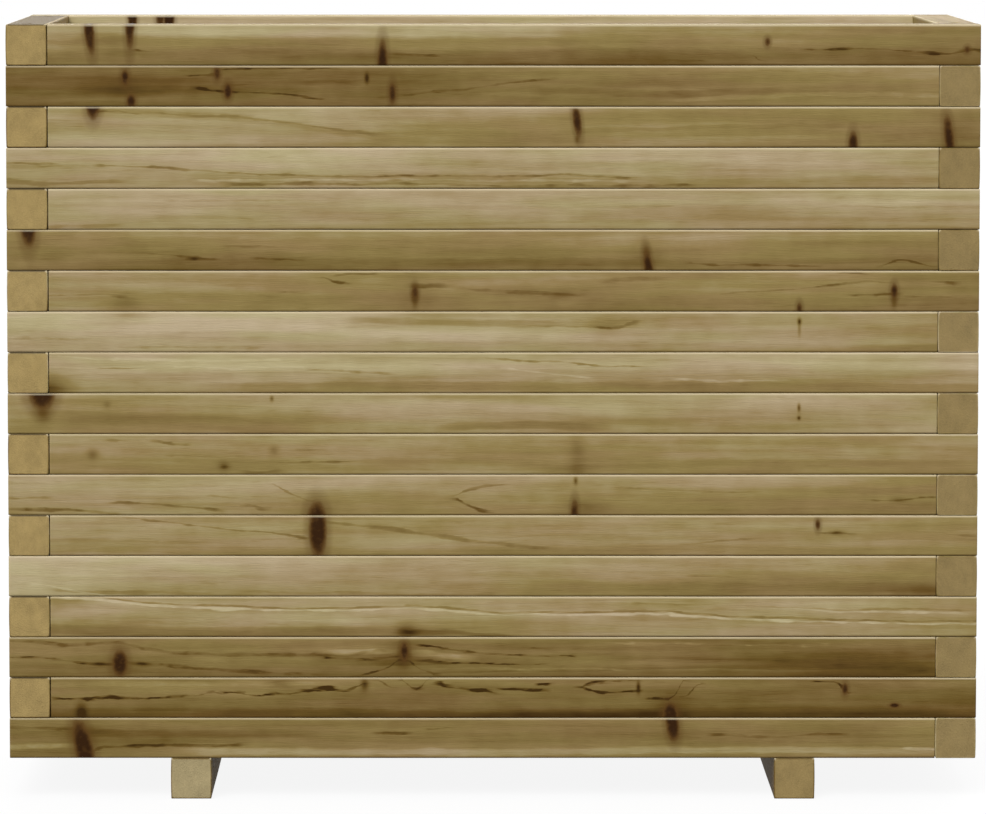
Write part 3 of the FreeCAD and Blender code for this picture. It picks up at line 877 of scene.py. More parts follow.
# The front slats as the photo shows them, from the top course (18) to the lowest (1): how pale they are
# at both ends, pith, ring width, contrast, flecks, then knots, streaks and spots.
FRONT_WOOD = {
    18: Wood(
        (0.49, 0.37), (6, -12), 5.5, 0.4, 0.3,
        (
            FaceKnot(-412, 10, 9, 38, -4), FaceKnot(-371, 18, 8.5, 46), FaceKnot(-113, -18, 9, 38),
            FaceKnot(280, 3, 4, 6), FaceKnot(484, -5, 4, 5),
        ),
        (
            Streak(15, -0.26, (-460, -16), (-100, -16), (500, -15)),
            Streak(9, 0.20, (-460, 14), (-300, 15), (0, 14), (60, 14)),
            Streak(1.3, -0.3, (-366, -5), (-352, -6)),
            Streak(1.6, -0.25, (-97, -9.5), (-60, -10)),
            Streak(1.5, -0.25, (12, -18), (36, -18)),
            Streak(1.5, -0.2, (180, -16), (216, -17)),
            Streak(1.0, -0.3, (321, -4), (355, -5), (400, -4), (425, -6)),
            Streak(1.7, -0.5, (440, -7), (452, -8), (465, -8), (485, -5), (498, -6)),
            Streak(1.2, -0.3, (266, -11), (272, -15)),
        ),
        (
            Spot(-392, 4, 34, 18, -0.15), Spot(76, 8, 12, 16, -0.12), Spot(-300, 12, 90, 7, 0.06),
            Spot(-85, 15, 190, 7, 0.13), Spot(-85, -17, 180, 8, -0.06), Spot(345, -16, 70, 7, 0.13),
        ),
    ),
    17: Wood(
        (0.06, 0.48), (30, 2), 5.0, 0.5, 0.3,
        (
            FaceKnot(-376, 8.5, 6.5, 13), FaceKnot(-370, -16, 7.5, 13), FaceKnot(-282, 13, 5.5, 11),
            FaceKnot(-271, -5, 7, 13), FaceKnot(-103, -7, 5.5, 17),
        ),
        (
            Streak(1.5, -0.35, (-312, 10), (-286, 12)),
            Streak(1.0, -0.4, (-276, 17), (-180, 18), (-163, 19)),
            Streak(1.6, -0.45, (-300, -2), (-276, -5)),
            Streak(1.5, -0.4, (-264, -5), (-235, -7), (-200, -10), (-180, -13)),
            Streak(3.5, -0.15, (-186, 4), (-150, 4)),
            Streak(1.5, -0.22, (-94, -8), (-30, -4), (0, 1), (60, 8)),
            Streak(3.0, 0.16, (190, -14), (330, -8), (455, -9)),
            Streak(4.5, -0.14, (60, -5), (200, -8), (270, -5)),
        ),
        (
            Spot(-380, -4, 30, 16, -0.12), Spot(-110, 0, 24, 18, -0.08), Spot(-129, 8, 2.2, 5, -0.6),
            Spot(-85, 0, 75, 22, -0.1),
        ),
    ),
    16: Wood(
        (0.76, 0.38), (8, -2), 5.5, 0.35, 0.0,
        (
            FaceKnot(-409, 23, 13, 30), FaceKnot(86, 5, 7, 24, -3), FaceKnot(368, -17, 8.5, 23),
            FaceKnot(466, -10, 8.5, 35, -4),
        ),
        (
            Streak(4.5, -0.12, (-390, 18), (-250, 8), (-170, -3), (-110, -11)),
            Streak(1.5, -0.2, (-340, 15), (-250, 9), (-170, -1), (-120, -8)),
            Streak(1.3, -0.35, (-404, 17), (-384, 17), (-366, 14)),
            Streak(8, 0.1, (-450, -10), (-250, -12)),
            Streak(3, -0.12, (90, -4), (220, 0), (350, 2)),
            Streak(5, 0.08, (150, -16), (330, -11)),
            Streak(9, -0.1, (-40, 6), (200, 10), (490, 12)),
        ),
        (
            Spot(-400, 14, 34, 10, -0.15), Spot(470, -6, 22, 16, -0.14), Spot(88, 2, 18, 20, -0.08),
            Spot(86, -12, 2.5, 5, -0.4), Spot(-375, -14, 75, 8, 0.16), Spot(-85, 14, 75, 8, -0.14),
        ),
    ),
    15: Wood(
        (0.69, 0.66), (14, -34), 5.5, 0.5, 0.2,
        (),
        (
            Streak(1.4, -0.22, (-497, 5), (-450, 4)),
            Streak(1.5, -0.36, (-400, 3), (-345, 1), (-267, -5), (-178, -8), (0, -8), (100, -8), (150, -9)),
            Streak(1.5, 0.2, (-300, -12), (-200, -12), (-100, -12), (60, -12.5), (150, -13)),
            Streak(3.0, -0.3, (-500, -13), (-460, -15), (-390, -14)),
            Streak(1.9, -0.32, (-267, -16), (-100, -16.5), (80, -17.5), (200, -18)),
            Streak(9, 0.1, (-497, 15), (455, 14)),
            Streak(8, -0.1, (-300, -12), (455, -13)),
            Streak(1.4, -0.18, (-460, 1), (-420, 2)),
        ),
    ),
    14: Wood(
        (0.72, 0.65), (52, 24), 5.0, 0.25, 0.0,
        (),
        (
            Streak(1.2, -0.14, (-330, 8), (-250, 9), (-180, 8)),
            Streak(2.5, -0.16, (-450, -18), (-390, -17)),
            Streak(1.5, -0.12, (360, 3), (440, 2)),
            Streak(5, 0.06, (-456, 8), (490, 6)),
        ),
        (Spot(131, 6, 140, 7, -0.11),),
    ),
    13: Wood(
        (0.40, 0.43), (7, -4), 6.0, 0.4, 0.1,
        (
            FaceKnot(-476, 23, 14, 40, -2), FaceKnot(159, -17, 7.5, 30, -4),
        ),
        (
            Streak(1.4, -0.2, (-270, 4), (-230, 4)),
            Streak(2.0, -0.45, (-305, -9), (-290, -9)),
            Streak(1.1, -0.2, (-370, -3), (-330, -5), (-298, -8)),
            Streak(1.4, -0.22, (-240, -8), (-200, -11)),
            Streak(1.2, -0.3, (397, -17), (412, -11), (422, -10.5), (432, -12), (452, -17)),
            Streak(1.2, -0.28, (205, -13), (330, -17)),
            Streak(9, -0.14, (-400, -15), (450, -15)),
            Streak(6, 0.1, (-500, 16), (450, 15)),
        ),
        (
            Spot(-477, 10, 24, 16, -0.1), Spot(160, -6, 18, 18, -0.12), Spot(-452, -10, 12, 9, -0.1),
            Spot(157, -1, 4, 8, -0.35), Spot(-375, -14, 75, 8, 0.14), Spot(59, 15, 75, 8, -0.12),
        ),
    ),
    12: Wood(
        (0.56, 0.33), (34, 6), 5.0, 0.4, 0.2,
        (
            FaceKnot(-80, -1, 5, 10), FaceKnot(411, 0, 5.5, 12), FaceKnot(314, -18, 4, 9),
        ),
        (
            Streak(1.3, -0.22, (-465, -4), (-410, -3), (-380, -5)),
            Streak(1.4, -0.35, (-213, 0), (-203, -1)),
            Streak(1.2, -0.4, (-172, 14), (-165, 10), (-150, 8)),
            Streak(1.3, -0.4, (-160, 16), (-150, 18), (-124, 18)),
            Streak(1.4, -0.35, (-100, 20), (-50, 20)),
            Streak(3.4, -0.42, (-72, 6), (-64, 6), (-56, 6)),
            Streak(2.0, -0.22, (-30, 3), (0, 0), (60, -3), (85, -4)),
            Streak(1.3, -0.32, (240, -2), (310, 2), (340, 6), (385, 10), (405, 8)),
            Streak(1.5, -0.45, (361, 19), (381, 17)),
            Streak(2.2, -0.42, (372, -4), (408, -3)),
            Streak(1.4, -0.2, (428, -5), (465, -6)),
            Streak(1.3, -0.4, (455, 10), (470, 9)),
            Streak(2.6, -0.2, (118, 11), (165, 13)),
            Streak(9, -0.08, (100, -14), (490, -14)),
        ),
        (
            Spot(-377, -14, 18, 10, -0.26), Spot(-80, -2, 20, 20, -0.12), Spot(412, 0, 16, 18, -0.1),
            Spot(-80, -5, 3.5, 12, -0.5), Spot(411, -10, 3, 8, -0.35), Spot(70, -4, 12, 3, -0.3),
            Spot(-85, 16, 60, 7, -0.1), Spot(347, 15, 70, 8, 0.12),
        ),
    ),
    11: Wood(
        (0.90, 0.50), (58, -6), 5.5, 0.3, 0.2,
        (),
        (
            Streak(1.5, -0.15, (-490, -7), (-420, -7)),
            Streak(1.7, -0.14, (-380, -15), (-240, -16)),
            Streak(5, -0.20, (-130, 12), (0, 9), (130, 8)),
            Streak(1.3, -0.28, (40, 7), (90, 6), (130, 5), (145, 9)),
            Streak(6, 0.1, (-200, 4), (-60, -6), (200, -8), (450, -9)),
        ),
        (
            Spot(-373, 20, 22, 7, -0.36), Spot(120, 4, 16, 24, -0.1), Spot(314, 11, 2, 3, -0.8),
            Spot(314, 4, 1.6, 8, -0.4), Spot(-85, 15, 70, 8, -0.2), Spot(203, 14, 75, 8, -0.13),
        ),
    ),
    10: Wood(
        (0.62, 0.70), (10, -30), 6.0, 0.5, 0.2,
        (),
        (
            Streak(1.3, 0.16, (-455, 17), (-330, 13), (-200, 14)),
            Streak(1.4, 0.3, (-320, 6), (-260, 5), (-200, 6)),
            Streak(1.3, -0.26, (-185, 3), (-150, 2), (-110, 0)),
            Streak(1.3, -0.32, (-400, 5), (-370, 4)),
            Streak(7, -0.2, (-270, -15), (0, -14), (200, -15), (490, -16)),
            Streak(1.3, -0.34, (0, 14), (70, 11), (115, 7), (150, 7)),
            Streak(1.5, 0.22, (190, -7), (230, -8), (300, -8)),
            Streak(1.4, 0.2, (15, 5), (60, -1), (100, -5)),
            Streak(6, 0.1, (-440, 2), (-100, 8), (490, 6)),
        ),
        (Spot(-460, -17, 22, 14, -0.75),),
    ),
    9: Wood(
        (0.57, 0.67), (8, -16), 6.0, 0.3, 0.0,
        (
            FaceKnot(-463, 19, 24, 31),
        ),
        (
            Streak(10, -0.13, (-420, -6), (-300, -8), (-240, -14)),
            Streak(5, -0.25, (-30, -13), (40, -12), (95, -14)),
            Streak(9, 0.12, (-200, 12), (-60, 8), (110, 6)),
        ),
        (
            Spot(-396, 9, 4, 4, -0.25), Spot(-462, 2, 8, 10, -0.55), Spot(-227, 15.5, 1.8, 3, -0.6),
            Spot(314, 6, 1.6, 4, -0.8), Spot(314, -4.5, 1.8, 2.2, -0.8), Spot(-110, 4, 75, 18, 0.16),
            Spot(-373, 4, 75, 20, -0.12), Spot(290, 5, 140, 7, -0.09),
        ),
    ),
    8: Wood(
        (0.55, 0.50), (48, -8), 5.0, 0.3, 0.2,
        (),
        (
            Streak(1.7, -0.42, (-345, 14), (-332, 11), (-318, 10)),
            Streak(1.5, -0.36, (-215, -9), (-190, -8), (-150, -8)),
            Streak(1.3, -0.3, (-195, 5), (-178, 5)),
            Streak(1.3, -0.3, (-392, 14), (-380, 14)),
            Streak(2.6, -0.36, (-250, -18), (-225, -18)),
            Streak(1.2, -0.15, (-330, 0), (-300, -2), (-260, -2)),
            Streak(6, -0.08, (-100, -8), (455, -10)),
        ),
        (
            Spot(-411, 0, 6, 5.5, -0.42), Spot(-276, -12, 6.5, 5, -0.36), Spot(-225, 4, 5, 4.5, -0.34),
            Spot(86, 2, 8, 26, -0.24), Spot(84, -18, 26, 6, -0.24), Spot(-276, -13, 3.5, 2, -0.25),
            Spot(131, 15, 260, 7, 0.13),
        ),
    ),
    7: Wood(
        (0.68, 0.42), (6, 14), 5.5, 0.4, 0.2,
        (
            FaceKnot(-181, -25, 18, 38), FaceKnot(84, -17, 6, 22),
        ),
        (
            Streak(1.4, -0.24, (-497, -3), (-460, -3)),
            Streak(2.2, -0.4, (-497, -14), (-440, -16), (-390, -19)),
            Streak(1.8, -0.42, (-388, -8), (-350, -9), (-310, -13), (-285, -16)),
            Streak(1.3, -0.2, (-288, 0), (-268, -3)),
            Streak(1.7, -0.42, (-250, -12), (-238, -14)),
            Streak(1.2, -0.3, (-225, 11), (-205, 0), (-188, -6)),
            Streak(1.5, -0.3, (-38, -2), (-30, 4), (-10, 9), (10, 11)),
            Streak(2.0, -0.55, (-36, -5), (-20, -13), (-8, -17)),
            Streak(1.3, -0.2, (130, 8), (180, 6), (240, 4), (270, 3)),
            Streak(1.6, -0.36, (388, -5), (412, -6), (424, -5), (440, -2), (455, -2)),
            Streak(8, 0.07, (-497, 12), (-200, 12)),
        ),
        (
            Spot(84, -10, 16, 16, -0.14), Spot(-178, -14, 24, 10, -0.16), Spot(85, 15, 2, 4, -0.7),
            Spot(102, -15, 20, 8, -0.25), Spot(417, -5, 9, 3, -0.3),
        ),
    ),
    6: Wood(
        (0.56, 0.55), (7, 24), 5.5, 0.35, 0.1,
        (
            FaceKnot(-180, 9, 16, 48), FaceKnot(334, 12, 3.5, 8),
        ),
        (
            Streak(1.2, -0.36, (-390, 20), (-300, 10), (-230, 3), (-194, -2)),
            Streak(2.2, -0.28, (-168, 13), (-110, 8), (-60, 0), (0, -8), (50, -13)),
            Streak(1.4, -0.22, (200, -9), (230, -6), (270, -3)),
            Streak(1.7, -0.5, (340, 2), (357, 3), (368, 2)),
            Streak(1.2, -0.2, (430, 5), (460, 3), (495, 0)),
            Streak(2.0, -0.1, (-440, -4), (-300, -8)),
        ),
        (Spot(-180, 0, 30, 24, -0.14), Spot(355, 3, 6, 2.5, -0.35), Spot(60, -16, 330, 8, -0.13)),
    ),
    5: Wood(
        (0.86, 0.37), (56, -14), 5.5, 0.25, 0.0,
        (),
        (
            Streak(2.4, -0.24, (-450, -14), (-380, -17), (-300, -17)),
            Streak(8, -0.17, (80, -13), (450, -13)),
            Streak(1.8, -0.2, (208, 0), (240, 0)),
            Streak(1.5, -0.14, (-250, -16), (-100, -18), (0, -18)),
            Streak(1.3, 0.2, (-470, -8), (-430, -14), (-400, -20)),
        ),
        (
            Spot(-373, -15, 75, 7, -0.15), Spot(-85, 15, 70, 8, -0.15), Spot(131, 0, 140, 20, -0.1),
            Spot(347, 14, 70, 8, 0.16), Spot(347, -14, 70, 7, 0.14),
        ),
    ),
    4: Wood(
        (0.56, 0.56), (16, 26), 6.0, 0.6, 0.0,
        (),
        (
            *(
                Streak(
                    half, shade, (-440, 20 + rise), (-376, 14.5 + rise), (-324, 10.5 + rise),
                    (-278, 8 + rise), (-212, 6.5 + rise), (-146, 6.5 + rise), (-87, 9 + rise),
                    (-48, 7 + rise), (7, 2 + rise), (105, 3 + rise), (150, 3.5 + rise),
                    (190, 2.5 + rise), (245, -2 + rise), (320, -5 + rise), (497, -8 + rise),
                )
                for half, shade, rise in ((1.6, 0.36, 0.0), (1.3, -0.3, 2.6))
            ),
            Streak(1.5, 0.22, (200, 11), (300, 8), (400, 5), (480, 4)),
            Streak(1.5, -0.22, (150, 14), (230, 10), (330, 8), (480, 7)),
            Streak(8, -0.24, (-456, -13), (-300, -16), (-150, -18)),
            Streak(3.5, -0.36, (-82, -16), (-40, -17), (10, -20)),
            Streak(7, 0.14, (-430, 3), (-300, -1), (-150, -3)),
        ),
        (
            Spot(-89, -18, 34, 10, -0.2), Spot(-89, -17, 11, 10, -0.5), Spot(-450, 16, 30, 8, -0.12),
            Spot(-373, 15, 75, 7, 0.12), Spot(-373, -4, 75, 7, -0.14), Spot(347, 15, 70, 8, 0.2),
        ),
    ),
    3: Wood(
        (0.32, 0.19), (34, 10), 4.6, 0.8, 0.45,
        (
            FaceKnot(-384, -6, 14, 24), FaceKnot(-91, 6, 7, 17),
        ),
        (
            Streak(
                2.5, -0.27, (-500, 16), (-470, 15), (-440, 12), (-400, 16), (-385, 16), (-360, 9),
                (-330, 5), (-300, 3), (-200, 2), (-150, 2), (-115, 6),
            ),
            Streak(1.5, -0.4, (-500, -1), (-470, -1), (-440, -3), (-412, -7), (-395, -7)),
            Streak(2.3, -0.25, (-374, -6), (-350, -8), (-270, -14), (-230, -17), (-180, -18)),
            Streak(4.0, 0.36, (-158, 5), (-116, 5)),
            Streak(4.0, 0.34, (-66, 3), (-36, 1)),
            Streak(1.3, -0.4, (-72, 11), (-30, 7), (20, 3), (80, 2)),
            Streak(1.4, -0.45, (-74, -3), (-40, -5), (0, -7), (50, -6)),
            Streak(1.6, -0.36, (-138, -19), (-120, -15), (-106, -9), (-98, -3)),
            Streak(1.5, -0.36, (-84, -4), (-76, -12), (-60, -18)),
            Streak(1.6, -0.4, (-170, -1), (-130, -2), (-104, 0)),
            Streak(1.5, 0.2, (120, 15), (200, 14), (260, 13), (340, 12)),
            Streak(1.4, -0.4, (44, 9.5), (56, 9)),
            Streak(1.4, 0.18, (-60, -12), (0, -11), (60, -12), (130, -13)),
        ),
        (
            Spot(350, -4, 120, 34, -0.22), Spot(-89, 6, 26, 18, -0.14), Spot(-92, 1, 8, 15, -0.26),
            Spot(-384, -4, 20, 14, -0.14), Spot(-404, -7, 7, 2.2, -0.4), Spot(-360, -7, 8, 2.2, -0.35),
            Spot(59, 15, 75, 7, -0.16), Spot(40, -3, 90, 8, 0.14),
        ),
    ),
    2: Wood(
        (0.25, 0.12), (46, -4), 4.4, 0.5, 0.4,
        (
            FaceKnot(183, -18, 14, 23), FaceKnot(363, 9, 4.5, 9), FaceKnot(414, -8, 8, 4),
        ),
        (
            Streak(
                1.3, -0.34, (-452, 0), (-436, -1.5), (-389, 0.5), (-350, -0.5), (-300, 3), (-290, 6.5),
                (-279, 3.5), (-267, 5.5), (-252, 2.5), (-242, 1.5), (-226, 5.5), (-212, 3),
                (-198, 5.5), (-188, 8), (-173, 10), (-155, 6.5), (-142, 10), (-134, 15),
            ),
            *(
                Streak(half, -1.1, (x - 0.5, z - rise), (x + 0.5, z + rise))
                for x, z, half, rise in (
                    (-444, -1.5, 1.9, 0.0), (-417, -1.5, 1.6, 0.0), (-389, 0.5, 1.9, 0.0),
                    (-350, -0.5, 1.7, 0.0), (-268, 5.5, 2.1, 0.0), (-234, 3.0, 1.8, 0.8),
                    (-188, 7.8, 2.3, 0.5), (-173, 9.8, 2.3, 0.0), (-53, 13.5, 2.0, -0.8),
                    (-14, 7.8, 2.1, 0.0), (52, 15.0, 1.7, 0.0), (166, -0.5, 1.6, 0.0),
                )
            ),
            Streak(1.6, -0.45, (-116, 20), (-111, 14), (-104, 10)),
            Streak(1.4, -0.4, (-91, 20), (-87, 12), (-80, 9)),
            Streak(1.4, -0.4, (-77, 9), (-71, 14), (-67, 20)),
            Streak(1.3, -0.36, (-46, 11), (-24, 9), (-10, 7), (5, 4)),
            Streak(1.8, -0.5, (13, 9), (25, 10), (40, 8), (50, 8)),
            Streak(1.5, -0.5, (92, 11), (103, 16), (116, 17.5), (127, 17), (149, 17)),
            Streak(1.5, -0.5, (92, 11), (109, 6), (127, 5.5), (147, 6.5)),
            Streak(1.5, -0.42, (182, -1), (189, 5), (192, 10), (196, 18)),
            Streak(1.4, -0.42, (199, 2), (205, 8), (213, 15)),
            Streak(1.6, -0.55, (335, 17), (352, 16), (360, 13), (363, 6)),
            Streak(5, -0.13, (-150, -15), (0, -18), (160, -17)),
            Streak(3, 0.12, (-456, 14), (-300, 14), (-180, 15)),
        ),
        (
            Spot(380, -4, 140, 30, -0.12), Spot(184, -8, 22, 16, -0.2), Spot(-220, 15, 14, 4, -0.35),
            Spot(-424, -15, 6, 9, -0.55), Spot(150, 11, 2, 6, -0.7), Spot(-132, 14, 4, 6, -0.6),
            Spot(0, 16, 900, 8, 0.12), Spot(0, -17, 900, 8, -0.15),
        ),
    ),
    1: Wood(
        (0.24, 0.36), (8, 34), 5.5, 0.4, 0.2,
        (
            FaceKnot(-423, -4, 17, 56, -12), FaceKnot(185, 16, 12, 30, -3),
        ),
        (
            Streak(2.2, -0.2, (-495, 11), (-440, 10)),
            Streak(6.0, -0.18, (-405, 6), (-375, 5), (-300, 5), (-210, 5)),
            Streak(1.6, -0.42, (-118, 4.5), (-92, 4.5)),
            Streak(1.4, -0.32, (-65, 9), (-45, 10)),
            Streak(2.2, -0.4, (-413, -14), (-402, -9), (-370, -8), (-267, -7)),
            Streak(3.0, 0.3, (-500, -9), (-446, -9)),
            Streak(5.0, 0.26, (-300, -14), (7, -15), (200, -12), (450, -14)),
            Streak(1.5, -0.22, (230, 3), (300, 2), (360, 4)),
            Streak(2.0, 0.22, (385, -9), (456, -12)),
        ),
        (
            Spot(-424, 0, 26, 24, -0.14), Spot(186, 8, 18, 16, -0.1), Spot(-200, 2, 90, 14, 0.08),
            Spot(0, -14, 900, 9, 0.12), Spot(-340, -3, 90, 7, -0.16), Spot(-340, -16, 90, 6, 0.14),
            Spot(347, 12, 80, 10, -0.24),
        ),
    ),
}


BACK_TOP_WOOD = Wood(
    (0.80, 0.84), (36, -12), 5.5, 0.5, 0.2,
    (
        Knot(388, -12, 24, 10, 3, 41), Knot(348, -14, 24, 12, 0, 41), Knot(357, 2, 24, 9, 0, 41),
        Knot(-60, -4, 24, 8),
    ),
)


# Points round a corner, places along a side, and the steps along a bar in mm, closer on the front.
CORNER_STEPS = 6
SIDE_SHARES = np.array([0.03, 0.2, 0.4, 0.6, 0.8, 0.97])
STATION_STEP = 14.0
FRONT_STEP = 5.0

# Ends of a bar: steps of the rounding, its length kept clear of stations, the rings that close an end,
# and on the bake map the room for both ends, their left sides and how far they fill it.
END_STEPS = np.array([0.0, 0.25, 1.0])
END_CLEAR = 4
CAP_SHARES = np.array([0.95, 0.7, 0.35])
CAP_ROOM = 0.2
CAP_LEFTS = (0.05, 0.55)
CAP_FILL = 0.9

# Waves of a bar: how many, and from which to which length in mm.
WAVE_COUNT = 3
WAVE_PERIODS = (180, 700)

# Screw holes, in mm: closer places about them, the room to others, depth, radii, and where they are.
HOLE_STEPS = np.linspace(-7.0, 7.0, 15)
HOLE_ROOM = 1.2
HOLE_DEPTH = 1.4
WALL_HOLE = 6.1
FLOOR_HOLE = 5.1
BUTT_SCREW = 30.0
CORNER_SCREW = SLAT_MM / 2 + 10.0
BOARD_SCREW = 25.0

# Butt ends: the run over which they are cut askew, and how far they bite into the wall, in mm.
BUTT_RUN = 10.0
BUTT_BITE = 0.3

# A rim greyed by weather and painted shade more than this has less painted highlight and shade
# on its edges, by this much.
RIM_PALE = 0.5
RIM_FALL = 1.6

UPPER_FACE = 1
LOWER_FACE = -1


def make_room(places, centres):
    """Places on a line with closer ones about each centre."""
    if not len(centres):
        return places
    close = np.unique((np.array(centres)[:, None] + HOLE_STEPS).ravel())
    apart = np.abs(places[:, None] - close).min(1) > HOLE_ROOM
    return np.union1d(places[apart], close)


def rounded_section(width, height, radius, crown, rows=()):
    """A bar's outline in its section, anticlockwise from the lower right corner.

    Each corner is a quarter circle, each side a straight run.  The two upright sides fall away by
    the crown towards their edges, with the square of the height.  The level sides have closer points
    about the rows of screws.  Returns the points, the painted edge light of each of them (1 for the
    painted highlight of an upper edge, -1 for the painted shade of a lower one), and which of them lie
    on the upper (1) and the lower face (-1).
    """
    turns = np.linspace(0, math.pi / 2, CORNER_STEPS)
    level_run = width - 2 * radius
    level_shares = make_room((SIDE_SHARES - 0.5) * level_run, rows) / level_run + 0.5
    points = []
    painted_edge_light = []
    level = []
    for corner in range(4):
        quarter = (corner - 1) * math.pi / 2
        signs = np.sign([math.cos(quarter + math.pi / 4), math.sin(quarter + math.pi / 4)])
        middle = signs * (np.array([width, height]) / 2 - radius)
        arc = middle + radius * np.stack([np.cos(turns + quarter), np.sin(turns + quarter)], 1)
        next_signs = np.array([-signs[1], signs[0]])
        onward = quarter + turns[-1]
        next_start = next_signs * (np.array([width, height]) / 2 - radius)
        next_start = next_start + radius * np.array([math.cos(onward), math.sin(onward)])
        shares = level_shares if corner % 2 else SIDE_SHARES
        side = arc[-1] + shares[:, None] * (next_start - arc[-1])
        points += [arc, side]
        # Upper corners take the painted highlight (1), lower corners the painted shade (-1).
        painted_edge_light += [np.full(CORNER_STEPS, signs[1]), np.zeros(len(shares))]
        level += [np.zeros(CORNER_STEPS), np.full(len(shares), corner % 2 * signs[1])]
    outline = np.concatenate(points)
    fall = crown * (2 * outline[:, 1] / height) ** 2
    outline[:, 0] -= np.sign(outline[:, 0]) * fall * (np.abs(outline[:, 0]) > width / 4)
    return outline, np.concatenate(painted_edge_light), np.concatenate(level)


def bar_surface(
    start, stop, width, height, radius, sizes, draw, step=STATION_STEP, holes=(), face=UPPER_FACE
):
    """A bar along X from start to stop: the rounded outline carried along a line.

    Near both ends the outline shrinks by a quarter circle, and rings of it close the end.  The line
    wanders by a few waves of a fraction of a millimetre.  Countersunk holes (along, across, radius)
    in the upper or the lower face are cones that end flat: the face sinks by what is left of the
    radius, up to their depth.  Returns vertices in mm (along, across from the middle, above the
    middle), quads, triangles, places on the bake map and trim.
    """
    rows = np.unique([hole[1] for hole in holes])
    outline, painted_edge_light, level = rounded_section(width, height, radius / MM, sizes.crown / MM, rows)
    count = len(outline)
    turn = sizes.end_round / MM
    steps = END_STEPS * turn
    shrink = turn - np.sqrt(turn**2 - (turn - steps) ** 2)
    clear = END_CLEAR * turn
    middle = np.linspace(start + clear, stop - clear, round((stop - start) / step))
    middle = make_room(middle, np.unique([hole[0] for hole in holes]))
    line = np.concatenate([start + steps, middle, (stop - steps)[::-1]])
    inset = np.concatenate([shrink, np.zeros(len(middle)), shrink[::-1]])
    waves = np.zeros((len(line), 2))
    for _ in range(WAVE_COUNT):
        period = draw.uniform(*WAVE_PERIODS)
        shift = draw.uniform(0, 2 * math.pi, 2)
        waves += np.sin(2 * math.pi * line[:, None] / period + shift) * sizes.wave / MM / WAVE_COUNT
    scale = 1 - 2 * inset[:, None, None] / np.array([width, height])
    section = outline[None] * scale + waves[:, None, :]
    for along, across, reach in holes:
        away = np.hypot(line[:, None] - along, section[..., 0] - across)
        section[..., 1] -= face * (level == face) * np.clip(reach - away, 0, HOLE_DEPTH)
    side = np.concatenate([np.broadcast_to(line[:, None, None], (len(line), count, 1)), section], 2)
    vertices = [side.reshape(-1, 3)]
    trim = [np.tile(np.stack([np.zeros(count), painted_edge_light, level > 0], 1), (len(line), 1))]
    rings = np.arange(len(line) * count).reshape(len(line), count)
    quads = [strip(rings[:-1], rings[1:])]
    around = np.concatenate([[0], np.cumsum(np.hypot(*np.diff(outline, axis=0, append=outline[:1]).T))])
    around = around / around[-1] * (1 - CAP_ROOM)
    quad_spots = [strip_map((line - start) / (stop - start), around)]
    triangles = []
    triangle_spots = []
    total = len(line) * count
    spread = np.concatenate([[1.0], CAP_SHARES])[:, None, None]
    for outer, tip, far, left in ((0, start, False, CAP_LEFTS[0]), (-1, stop, True, CAP_LEFTS[1])):
        closing = (section[outer] - waves[outer]) * spread
        cap = np.concatenate([np.full((len(CAP_SHARES), count, 1), tip), closing[1:] + waves[outer]], 2)
        cap = cap.reshape(-1, 3)
        vertices += [cap, np.array([[tip, *waves[outer]]])]
        trim.append(np.tile((1.0, 0.0, 0.0), (len(cap) + 1, 1)))
        loops = np.concatenate([rings[outer][None], total + np.arange(len(cap)).reshape(-1, count)])
        hub_spot = np.array([left + CAP_ROOM / 2, 1 - CAP_ROOM / 2])
        spots = closing / np.array([width, height]) * CAP_ROOM * CAP_FILL + hub_spot
        quads.append(strip(*outward(loops[:-1], loops[1:], far)))
        quad_spots.append(strip(*outward(spots[:-1], spots[1:], far)))
        last = outward(loops[-1], np.roll(loops[-1], -1), far)
        triangles.append(np.stack([*last, np.full(count, total + len(cap))], 1))
        last_spots = outward(spots[-1], np.roll(spots[-1], -1, axis=0), far)
        triangle_spots.append(np.stack([*last_spots, np.broadcast_to(hub_spot, (count, 2))], 1))
        total += len(cap) + 1
    return (
        np.concatenate(vertices),
        np.concatenate(quads),
        np.concatenate(triangles),
        np.concatenate([part.reshape(-1, 2) for part in quad_spots + triangle_spots]),
        np.concatenate(trim),
    )


def outward(first, second, far):
    """Two rows in the order that turns the faces between them outward at the far or the near end."""
    return (first, second) if far else (second, first)


def strip(first, second):
    """Quads between rows of vertex numbers or of places on the bake map, closed round each row, facing
    outward where the rows run anticlockwise and second lies further along."""
    corners = [first, np.roll(first, -1, axis=1), np.roll(second, -1, axis=1), second]
    return np.stack(corners, 2).reshape(-1, 4, *first.shape[2:])


def strip_map(run, around):
    """Places on the bake map for the quads of the bar's sides."""
    low, high = run[:-1, None], run[1:, None]
    first, second = around[None, :-1], around[None, 1:]
    shape = (len(run) - 1, len(around) - 1)
    corners = [(low, first), (low, second), (high, second), (high, first)]
    spots = [np.stack([np.broadcast_to(u, shape), np.broadcast_to(v, shape)], 2) for u, v in corners]
    return np.stack(spots, 2).reshape(-1, 4, 2)


